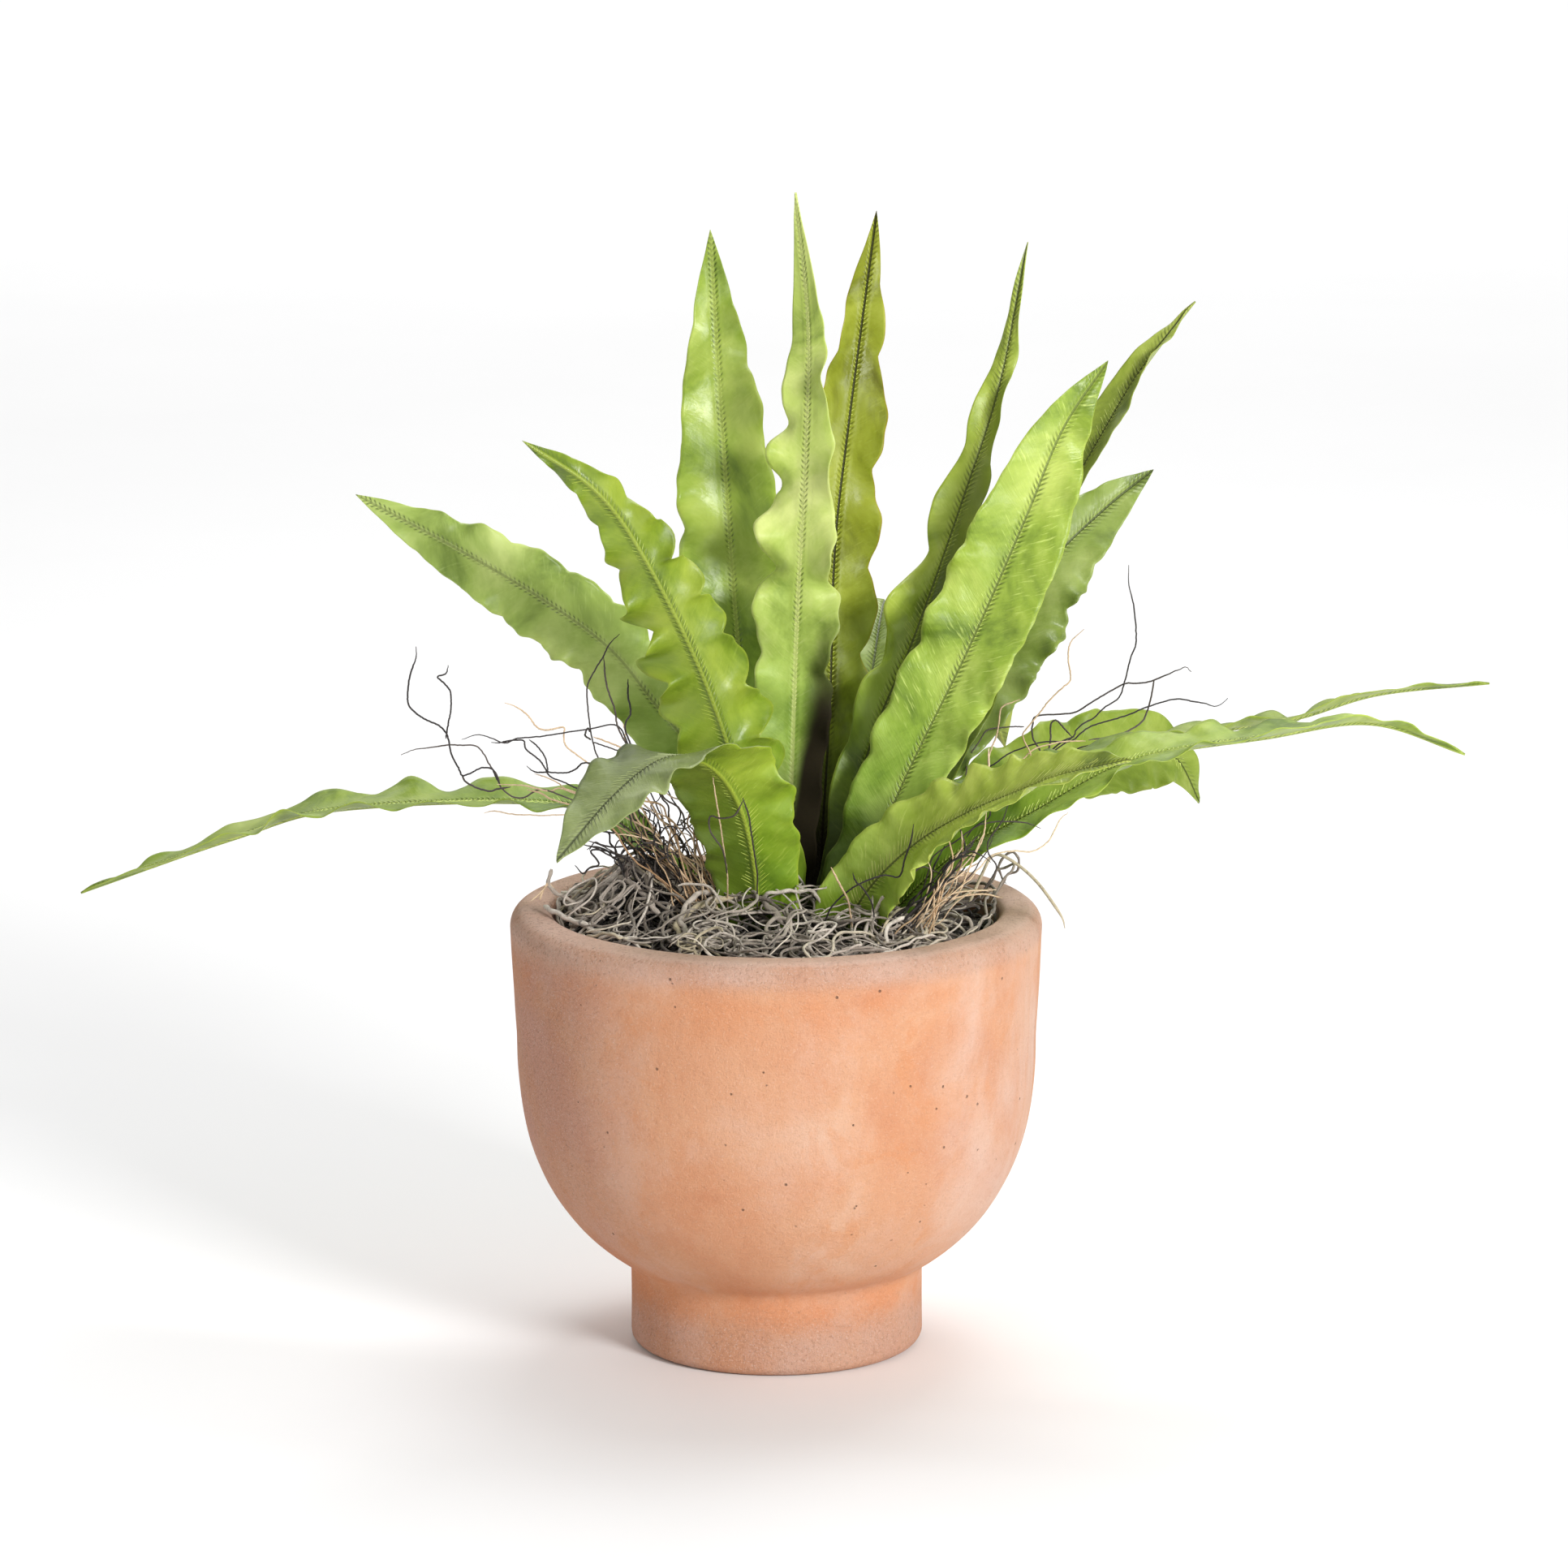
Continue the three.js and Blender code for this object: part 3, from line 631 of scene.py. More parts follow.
class Frond:
    # one blade: spine, frame and outline, and the place of any point on it
    def __init__(self, name, given):
        self.given = given
        self.steps = np.linspace(0, 1, 400)
        self.spine = evenPath(given["midrib"], len(self.steps))
        self.length = curveThrough(given["midrib"])[1][-1]
        ahead = unit(np.gradient(self.spine, axis=0))
        start, end = (unit(np.array(look, float)) for look in given["facing"])
        turn = smooth(0.1, 0.9, self.steps)[:, None]
        self.sideways = unit(np.cross(ahead, start * (1 - turn) + end * turn))
        self.up = np.cross(self.sideways, ahead)
        self.seed = sum(map(ord, name)) % 97

    def share(self, u):
        base, tip = self.given["base"], self.given["tip"]
        return (base + (1 - base) * smooth(0, 0.45, u)) * (1 - np.clip((u - tip) / (1 - tip), 0, 1) ** 2)

    def turns(self, u, side, faster=1.0):
        # waves crowd and spread along the margin, so that no two are alike
        drift = 1.1 * np.sin(fullTurn * 1.3 * u + self.seed + side) + 0.6 * np.sin(fullTurn * 2.9 * u + side)
        return fullTurn * self.given["waves"] * faster * u + self.given["phase"] + side + drift

    def envelope(self, u, side):
        # how strongly the margin waves: not at the crown, unevenly along it, and calm by the tip
        calm = self.given["calm"]
        swell = np.sin(math.pi * np.clip(u, 0, 1)) ** 0.6 * (1 - smooth(calm, calm + 0.16, u))
        return swell * (0.8 + 0.35 * np.sin(fullTurn * 2.3 * u + 1.7 * self.seed + side))

    def halfWidth(self, u, side):
        # round lobes with sharp notches between them, and small teeth
        given = self.given
        swing = self.turns(u, side + blade["lobeTurn"])
        lobes = 2 * np.abs(np.sin((swing + given["skew"] * np.cos(swing)) / 2)) - 1.1
        lobes = lobes + 0.28 * given["teeth"] * np.sin(self.turns(u, side, 2.7))
        return given["width"] / 2 * self.share(u) * (1 + given["scallop"] * self.envelope(u, side) * lobes)

    def at(self, u, v, lift=0.0):
        # u from 0 to 1 along, v from -1 to 1 across, lift above the upper face in millimetres
        given, seed = self.given, self.seed
        u, v = np.broadcast_arrays(np.asarray(u, float), np.asarray(v, float))
        spine, sideways, up = (np.stack([np.interp(u, self.steps, part[:, k]) for k in range(3)], -1)
                               for part in (self.spine, self.sideways, self.up))
        side = np.where(v < 0, 0.0, blade["otherHalf"])
        reach, half, envelope = np.abs(v), self.halfWidth(u, side), self.envelope(u, side)
        waves = np.sin(self.turns(u, side)) + 0.35 * given["teeth"] * np.sin(self.turns(u, side * 2, 1.63))
        along, out = u * self.length, v * half
        dents = 0.42 * np.sin(along / 2.7 + out / 1.9 + seed)
        dents = dents + 0.30 * np.sin(along / 1.5 - out / 2.6 + 2 * seed)
        fold = math.radians(given["fold"])
        height = reach * half * math.sin(fold) + given["ruffle"] * envelope * waves * reach ** 2.1
        height = height + dents * given["teeth"] * envelope * reach + lift
        return spine + sideways * (v * half * math.cos(fold))[..., None] + up * height[..., None], half

    def surface(self, u, v, under):
        inner = np.abs(v) * self.at(u, v)[1]
        if under:
            ridge = self.given["rib"] * np.exp(-(inner / blade["ridgeWidth"]) ** 2) * (1 - 0.6 * u)
            thin = -blade["thickness"] * (1 - blade["edgeThinning"] * np.abs(v) ** 3)
            return self.at(u, v, thin - ridge)[0]
        crest = blade["crest"] - (blade["crest"] + blade["groove"]) * self.given["line"]
        swelling, place, width = blade["shoulder"]
        groove = crest * np.exp(-(inner / blade["grooveWidth"]) ** 2)
        return self.at(u, v, groove + swelling * np.exp(-((inner - place) / width) ** 2))[0]


def veinStrokes(s, place, along, across, reach):
    # side veins run out and forward from the midrib as fine broken strokes
    slanted = s.math("SUBTRACT", along, s.times(reach, 0.75))
    bent = s.plus(slanted, s.times(s.noise(place, 45, 3), 0.006))
    field = s.add("ShaderNodeCombineXYZ", X=s.times(bent, 820), Y=s.times(across, 140)).outputs["Vector"]
    return s.noise(field, 1.0, 3, 0.6)


def barbHollowShade(s, place, along, reach, barbs):
    # painted shade: dark dashes beside the midrib, in the hollows between the barbs
    lean = s.math("SUBTRACT", along, s.times(reach, 0.9))
    dashes = s.span(s.math("SINE", s.times(lean, fullTurn / 0.0021)), -0.1, 0.7)
    near = s.span(reach, 0.0026 * barbs + 0.0012, 0.0010)
    return s.times(dashes, s.times(near, s.patches(place, 60, 2, 0.40, 0.58, 0.25, 1.0)))


def leafMaterial(name, given, tone, under):
    dark, middle, bright = (shaded(colour, given["gain"]) for colour in leafTones[tone])
    veins, line = given["veins"], given["line"]
    s = Shader(name, 0.42, given["gloss"])
    place = s.place()
    along, across, _ = s.uv("bladeMetric")
    fromCrown, sideShare, _ = s.uv("bladeShare")
    reach = s.math("ABSOLUTE", across)
    colour = s.ramp(s.noise(place, 27, 5, 0.62, 0.6), [(0.33, dark), (0.47, middle), (0.66, bright)])
    colour = s.mix(s.span(fromCrown, 0.60, 0.05, 0.0, 0.75), colour, blade["crownTint"], "MULTIPLY")
    strokes = veinStrokes(s, place, along, across, reach)
    paler = s.times(s.span(strokes, 0.54, 0.70), s.patches(place, 40, 3, 0.34, 0.58), 0.18 + 0.47 * veins)
    colour = s.mix(paler, colour, shaded(bright, 1.15, 0.05))
    # painted shade in the hollows between the barbs
    hollowShade = barbHollowShade(s, place, along, reach, given["barbs"])
    colour = s.mix(s.times(hollowShade, 0.72), colour, shaded(dark, 0.45))
    # midrib: a thin dark groove above; below, a painted highlight along the ridge with painted shade on its
    # sides
    if under:
        colour = s.mix(s.span(reach, 0.0030, 0.0017, 0.0, 0.45), colour, dark)
        colour = s.mix(s.span(reach, 0.0010, 0.0005, 0.0, 0.65), colour, bright)
    else:
        colour = s.mix(s.span(reach, 0.0010, 0.0005, 0.0, 0.70 - 0.5 * line), colour, bright)
        colour = s.mix(s.span(reach, 0.0007, 0.0003, 0.0, line), colour, shaded(dark, 0.35))
    edge = s.span(s.math("ABSOLUTE", s.math("SUBTRACT", s.times(sideShare, 2), 1)), 0.95, 1.0)
    colour = s.mix(s.times(edge, 0.45), colour, given["margin"] or bright)
    # painted shade on the half that is turned away from the light
    turnedShade = s.times(s.span(sideShare, 0.49, 0.60), s.span(fromCrown, 0.95, 0.45), given["dim"])
    colour = s.mix(turnedShade, colour, shaded(dark, 0.55))
    # painted shade low down by the crown, where the fronds crowd and shadow each other
    height = s.math("SUBTRACT", fromCrown, s.times(s.span(sideShare, 0.45, 0.9), given["lean"]))
    crownShade = s.times(s.span(height, 0.30, 0.10), given["shade"])
    colour = s.mix(crownShade, colour, blade["crownShadeColour"])
    # painted shade on the base of each frond, down among the moss
    colour = s.mix(s.span(fromCrown, 0.075, 0.035, 0.0, 0.9), colour, blade["stalk"])
    normal = s.bump(s.noise(place, 120, 4, 0.5), 0.0014, 0.36)
    normal = s.bump(strokes, 0.0005, 0.14 + 0.34 * veins, normal)
    normal = s.bump(hollowShade, -0.0006, 0.55, normal)
    normal = s.bump(s.noise(place, 900, 2), 0.0003, 0.2, normal)
    rough = s.math("MAXIMUM", s.patches(place, 34, 4, 0.3, 0.7, 0.32, 0.50), s.times(crownShade, 0.95))
    s.principled.inputs["Subsurface Weight"].default_value = 0.12
    s.principled.inputs["Subsurface Radius"].default_value = (0.8, 1.0, 0.2)
    s.principled.inputs["Subsurface Scale"].default_value = 0.0012
    return s.finish(colour, normal, rough)


def barbMaterial(tone):
    s = Shader("barbs_" + tone, 0.5, 0.4)
    bright = leafTones[tone][2]
    stops = [(0.3, bright), (0.7, shaded(bright, 1.25, 0.05, 0.9))]
    return s.finish(s.ramp(s.noise(s.place(), 90, 2), stops))


def barbsOn(frond, under):
    # short raised lines beside the midrib, slanting forward
    given, length = frond.given, frond.length
    rng = random.Random(frond.seed + (7 if under else 0))
    shortest, longest, swelling = blade["barbReach"]
    lowest, highest = blade["barbRange"]
    up, base = (-1, -blade["thickness"]) if under else (1, 0.0)
    t = np.array([0.0, 0.5, 1.0])
    foot, crest = base - 0.05 * up, base + blade["barbHeight"] * (1 - 0.75 * t) * up
    thick = blade["barbWidth"] / length / 2 * (1 - 0.6 * t)
    points, quads, metric, shares = [], [], [], []
    for side in (-1, 1):
        along = length * (lowest + 0.24 * given["shade"] ** 2)
        while along < length * highest:
            half = float(frond.at(along / length, side * 0.5)[1])
            swell = 0.5 + 0.5 * math.sin(along / 17 + frond.seed + side)
            reach = (rng.uniform(shortest, longest) + swelling * swell * rng.random()) * given["barbs"]
            reach = min(reach, half * 0.6)
            centre = (along + 0.75 * reach * t) / length
            v = side * np.minimum((blade["barbStart"] + reach * t) / max(half, 1e-6), 0.9)
            first = 3 * len(points)
            for where, lift in ((centre - thick, foot), (centre, crest), (centre + thick, foot)):
                points.append(frond.at(where, v, lift)[0])
                metric.append(np.stack([where * length * mm, v * half * mm], 1))
                shares.append(np.stack([where, (v + 1) / 2], 1))
            for a in (first, first + 1, first + 3, first + 4):
                quad = (a, a + 1, a + 4, a + 3)
                quads.append(quad if (side > 0) != under else quad[::-1])
            along += blade["barbSpacing"] * rng.uniform(0.75, 1.3)
    return np.vstack(points), quads, np.vstack(metric), np.vstack(shares)


def makeFrond(name, given, materials):
    # the blade as rings of points, upper face then lower face, closed by a cap at each end
    frond = Frond(name, given)
    count, wide = blade["stations"], blade["across"]
    ring = 2 * wide
    u = np.linspace(0, 1, count) ** 0.95 * 0.999
    t = np.linspace(-1, 1, wide)
    u, v = np.meshgrid(u, np.sign(t) * np.abs(t) ** 1.25, indexing="ij")        # closer rows by the midrib
    half = frond.at(u, v)[1]
    top, bottom = frond.surface(u, v, under=False), frond.surface(u, v, under=True)
    flat = (np.stack([u * frond.length * mm, v * half * mm], -1), np.stack([u, (v + 1) / 2], -1))
    points = [np.concatenate([top, bottom[:, ::-1]], 1).reshape(-1, 3)]
    metric, shares = ([np.concatenate([part, part[:, ::-1]], 1).reshape(-1, 2)] for part in flat)
    column = np.tile(np.arange(ring), count - 1)
    caps = []
    for start, step in ((0, -1), ((count - 1) * ring, 1)):
        for i in range(wide - 1):
            caps.append((start + i, start + i + 1, start + ring - 2 - i, start + ring - 1 - i)[::step])
    quads = [ringQuads(count, ring), np.array(caps)]
    faceMaterial = [(column >= wide) & (column < ring - 1), np.zeros(len(caps), int)]
    first = len(points[0])
    for under in (False, True):
        barbPoints, barbQuads, barbMetric, barbShares = barbsOn(frond, under)
        points.append(barbPoints)
        quads.append(np.array(barbQuads) + first)
        faceMaterial.append(np.full(len(barbQuads), 3 if under else 2))
        metric.append(barbMetric)
        shares.append(barbShares)
        first += len(barbPoints)
    maps = {"bladeMetric": np.vstack(metric), "bladeShare": np.vstack(shares)}
    piece = meshPiece("frond_" + name + "_blade", np.vstack(points) * mm, np.vstack(quads), materials,
                      np.concatenate(faceMaterial), maps)
    mount(piece, "frond_" + name)


def makeFronds():
    barbs = {tone: barbMaterial(tone) for tone in leafTones}
    for name, own in fronds.items():
        given = {**usualFrond, **own}
        tone, underTone = given["tone"], given["under"] or given["tone"]
        upper = leafMaterial("leafUpper_" + name, given, tone, under=False)
        lower = leafMaterial("leafUnder_" + name, given, underTone, under=True)
        makeFrond(name, given, [upper, lower, barbs[tone], barbs[underTone]])


makeFronds()
print("fronds ready:", len(fronds))


moss = {        # lengths in millimetres
    "innerRadius": 83.2,
    "ground": 160,
    "lowest": 150,
    "step": 2.0,
    # mounds of the mat: x, y, spread along x, spread along y, height
    "mounds": [(-14, -20, 32, 28, 14), (-54, -6, 19, 24, 19), (34, -36, 26, 22, 7), (72, 0, 14, 26, 6),
               (8, 42, 48, 24, 8), (-20, -58, 30, 16, 3)],
    # layers from the bottom up: strands, depth below the mat's top, arch height, thickness, sharpest curl,
    # shortest and longest run of steps, tone
    # the lower layers take the darker tones, painted shade deep in the mat
    "layers": [
        dict(count=250, depth=(5, 12), arch=1.5, thick=(.4, .9), curl=.30, run=(18, 40), tone=(0, .12)),
        dict(count=165, depth=(1, 6), arch=4, thick=(.28, .7), curl=.42, run=(22, 56), tone=(.05, .58)),
        dict(count=165, depth=(-2.5, 1), arch=7, thick=(.25, .62), curl=.50, run=(26, 70), tone=(.36, 1)),
        dict(count=44, depth=(-3, -1), arch=11, thick=(.25, .6), curl=.50, run=(22, 44), tone=(.60, 1)),
    ],
    # the strand that hangs over the rim
    "overRim": [(72, -14, 172), (77, -15, 184), (80, -16, 190), (84, -18, 191), (91, -20, 187),
                (97, -24, 182), (102, -28, 176), (106, -30, 170), (107, -30, 166)],
    # colours by tone, from the strands deep down, near black with painted shade, to the driest ones
    "tones": [(0.0, (0.018, 0.013, 0.010)), (0.25, (0.055, 0.041, 0.033)), (0.50, (0.19, 0.155, 0.125)),
              (0.76, (0.53, 0.455, 0.385)), (0.90, (0.80, 0.72, 0.63)), (0.96, (0.56, 0.47, 0.30)),
              (1.0, (0.86, 0.77, 0.66))],
    "mottle": (0.20, 0.165, 0.135),
    "scales": (0.72, 0.67, 0.60),
}
# moss strands given one by one, with their thickness and tone
mossRuns = [
    ([(-80, 4, 166), (-71, -4, 172), (-60, -11, 182), (-54, -13, 187), (-48, -13, 187), (-43, -15, 183),
      (-37, -18, 179), (-32, -22, 176), (-28, -27, 172)], 1.15, 0.9),
    ([(-66, -6, 176), (-60, -11, 181), (-54, -19, 181), (-49, -24, 178), (-46, -28, 174), (-42, -33, 169)],
      1.1, 0.74),
    ([(-60, 2, 184), (-55, -9, 187), (-50, -17, 184), (-47, -23, 179), (-44, -30, 172)], 1.0, 0.66),
    ([(-52, 0, 187), (-45, -10, 186), (-38, -16, 182), (-31, -20, 178), (-24, -25, 175)], 1.1, 0.7),
    ([(-75, 10, 170), (-76, 0, 170), (-77, -8, 168), (-72, -13, 169), (-66, -20, 168)], 0.95, 0.6),
    ([(-48, -13, 187), (-48, -18, 185), (-47, -24, 179), (-49, -27, 174)], 0.6, 0.85),
    ([(-87, -11, 170), (-81, -23, 170), (-75, -30, 169), (-67, -37, 167), (-61, -42, 166), (-56, -45, 165)],
      0.95, 0.88),
    ([(-6, -27, 178), (-17, -31, 178), (-26, -33, 176), (-32, -36, 174), (-36, -42, 171), (-36, -49, 168),
      (-34, -54, 164)], 1.1, 0.96),
    ([(-23, -25, 179), (-30, -30, 178), (-34, -35, 175), (-35, -44, 172), (-32, -53, 169), (-28, -60, 166),
      (-20, -56, 166), (-14, -50, 167)], 1.0, 0.8),
    ([(3, -32, 174), (5, -43, 171), (2, -52, 168), (-2, -50, 168), (-3, -45, 170), (0, -42, 172),
      (5, -44, 171), (7, -54, 166)], 0.75, 0.75),
    ([(-8, -28, 176), (-2, -34, 180), (6, -32, 181), (13, -29, 179), (17, -26, 174), (19, -26, 169)],
      0.7, 0.86),
    ([(-7, -26, 181), (-4, -32, 177), (-1, -38, 174), (3, -43, 170)], 1.3, 0.62),
    ([(41, -56, 166), (41, -50, 171), (47, -45, 173), (52, -41, 171), (56, -43, 166)], 0.8, 0.9),
    ([(33, -49, 168), (36, -44, 173), (41, -38, 173), (44, -39, 169)], 0.8, 0.82),
    ([(40, -44, 182), (37, -41, 175), (34, -43, 167)], 0.7, 1.0),
    ([(23, -38, 171), (26, -34, 174), (30, -33, 173)], 0.6, 0.9),
    ([(63, -19, 168), (68, -25, 170), (72, -30, 168), (73, -34, 163)], 0.8, 0.7),
    ([(82, 8, 171), (86, 6, 177), (90, 4, 180), (91, 2, 185), (89, 2, 188), (86, 4, 186), (83, 6, 182),
      (84, 8, 178), (86, 9, 174)], 0.5, 0.55),
    ([(78, 12, 168), (82, 6, 180), (86, 4, 182), (89, 0, 184), (87, -2, 180), (84, -2, 176), (80, -4, 170)],
      0.5, 0.62),
    ([(-84, -14, 185), (-85, -15, 180), (-83, -16, 178), (-79, -17, 175), (-75, -18, 172), (-72, -19, 168)],
      0.75, 0.7),
]


def mossHeight(x, y):
    height = moss["ground"] + 1.6 * noise.noise(Vector((x / 13, y / 13, 0)))
    for midX, midY, wideX, wideY, rise in moss["mounds"]:
        height += rise * math.exp(-((x - midX) / wideX) ** 2 - ((y - midY) / wideY) ** 2)
    return height


def mossPath(rng, layer):
    # a strand that wanders over the mat, curling one way and then the other
    radius, step, curl = moss["innerRadius"], moss["step"], layer["curl"]
    away = radius * math.sqrt(rng.random())
    turn = rng.uniform(0, fullTurn)
    x, y = away * math.cos(turn), away * math.sin(turn)
    heading = rng.uniform(0, fullTurn)
    bend = aim = rng.uniform(-curl, curl)
    depth = rng.uniform(*layer["depth"])
    sway, phase = rng.uniform(0.10, 0.24), rng.uniform(0, 6.28)
    wave = rng.uniform(0.5, 1.1)
    path = []
    for k in range(rng.randint(*layer["run"])):
        if rng.random() < 0.06:        # now and then it curls another way
            aim = rng.uniform(-curl, curl)
        bend += (aim - bend) * 0.3
        heading += bend + 0.03 * math.sin(k * wave)
        x += step * math.cos(heading)
        y += step * math.sin(heading)
        away = math.hypot(x, y)
        if away > radius - 1:      # turn back from the pot's wall
            x *= (radius - 1) / away
            y *= (radius - 1) / away
            heading += 0.5 if math.sin(heading - math.atan2(y, x)) > 0 else -0.5
        lift = layer["arch"] * (0.5 + 0.5 * math.sin(k * sway + phase)) + 0.25 * math.sin(k * wave * 1.7)
        path.append((x, y, max(mossHeight(x, y) - depth + lift, moss["lowest"])))
    return path


def mossMaterial():
    s = Shader("spanishMoss", 0.9, 0.2)
    place = s.place()
    tone, _, _ = s.uv("strand")
    mottle = s.span(s.noise(place, 420, 4, 0.65), 0.38, 0.7, 0.0, 0.42)
    colour = s.mix(mottle, s.ramp(tone, moss["tones"]), moss["mottle"])
    colour = s.mix(s.patches(place, 900, 2, 0.5, 0.75, 0.0, 0.22), colour, moss["scales"])
    s.principled.inputs["Sheen Weight"].default_value = 0.25
    return s.finish(colour, s.bump(s.noise(place, 1300, 3), 0.0006, 0.8))


def lumpy(count, radius, size, pace):
    # radii along a strand with soft lumps
    return tapered(count, radius) * (1 + size * np.sin(np.arange(count) * pace)) * mm


def makeMoss():
    material = mossMaterial()
    rng = random.Random(11)
    for number, layer in enumerate(moss["layers"]):
        strands = []
        for _ in range(layer["count"]):
            knots = mossPath(rng, layer)
            path = evenPath(knots, len(knots) * 2)
            radius = rng.uniform(*layer["thick"])
            radii = lumpy(len(path), radius, 0.07, rng.uniform(0.4, 1.0))
            strands.append((path * mm, radii, rng.uniform(*layer["tone"])))
        strandPiece("mossLayer_" + str(number + 1), strands, 6, material, "spanish_moss")
    laid = []
    for route, radius, tone in mossRuns:
        path = evenPath(route, len(route) * 9)
        wobble = [[noise.noise(Vector((p[k] / 5, p[(k + 1) % 3] / 5, k * 7))) for k in range(3)]
                  for p in path]
        laid.append(((path + np.array(wobble) * 1.3) * mm, lumpy(len(path), radius, 0.10, 0.7), tone))
    strandPiece("mossLaidStrands", laid, 8, material, "spanish_moss")
    hanging = [(evenPath(moss["overRim"], 80) * mm, tapered(80, 0.6) * mm, 0.95)]
    strandPiece("mossOverRim", hanging, 10, material, "moss_strand_right")


makeMoss()
print("moss ready")


# wiry roots: colours by tone
rootTones = {
    "dark": [(0.0, (0.014, 0.011, 0.011)), (0.6, (0.052, 0.043, 0.042)), (1.0, (0.15, 0.115, 0.095))],
    "tan": [(0.0, (0.40, 0.24, 0.125)), (0.35, (0.72, 0.51, 0.31)), (1.0, (0.89, 0.71, 0.50))],
}
# sprays of wires, in millimetres: the box they rise from, the points they lean to, how many, how thick, how
# sharply they kink, how far their ends scatter and how far they set off from their aim
rootSprays = {
    "dark_left": dict(
        low=(-52, -24, 168), high=(-18, -12, 176), count=42, radius=0.30, kink=0.50, scatter=4, stray=0.16,
        towards=[(-80, -12, 196), (-72, -14, 206), (-62, -14, 216), (-52, -12, 226), (-42, -14, 226)]),
    "tan_left": dict(
        low=(-34, -29, 166), high=(-16, -22, 174), count=20, radius=0.28, kink=0.17, scatter=4, stray=0.16,
        towards=[(-70, -22, 200), (-60, -22, 214), (-48, -24, 220), (-38, -28, 222), (-28, -28, 212)]),
    "dark_right": dict(
        low=(36, -47, 164), high=(52, -41, 168), count=13, radius=0.28, kink=0.20, scatter=1.6, stray=0.05,
        towards=[(70, -48, 204), (76, -49, 210), (66, -46, 200), (72, -47, 196)]),
    "tan_right": dict(
        low=(42, -48, 164), high=(58, -42, 168), count=10, radius=0.30, kink=0.16, scatter=1.6, stray=0.05,
        towards=[(84, -48, 188), (78, -49, 198), (74, -50, 206), (66, -50, 202)]),
}
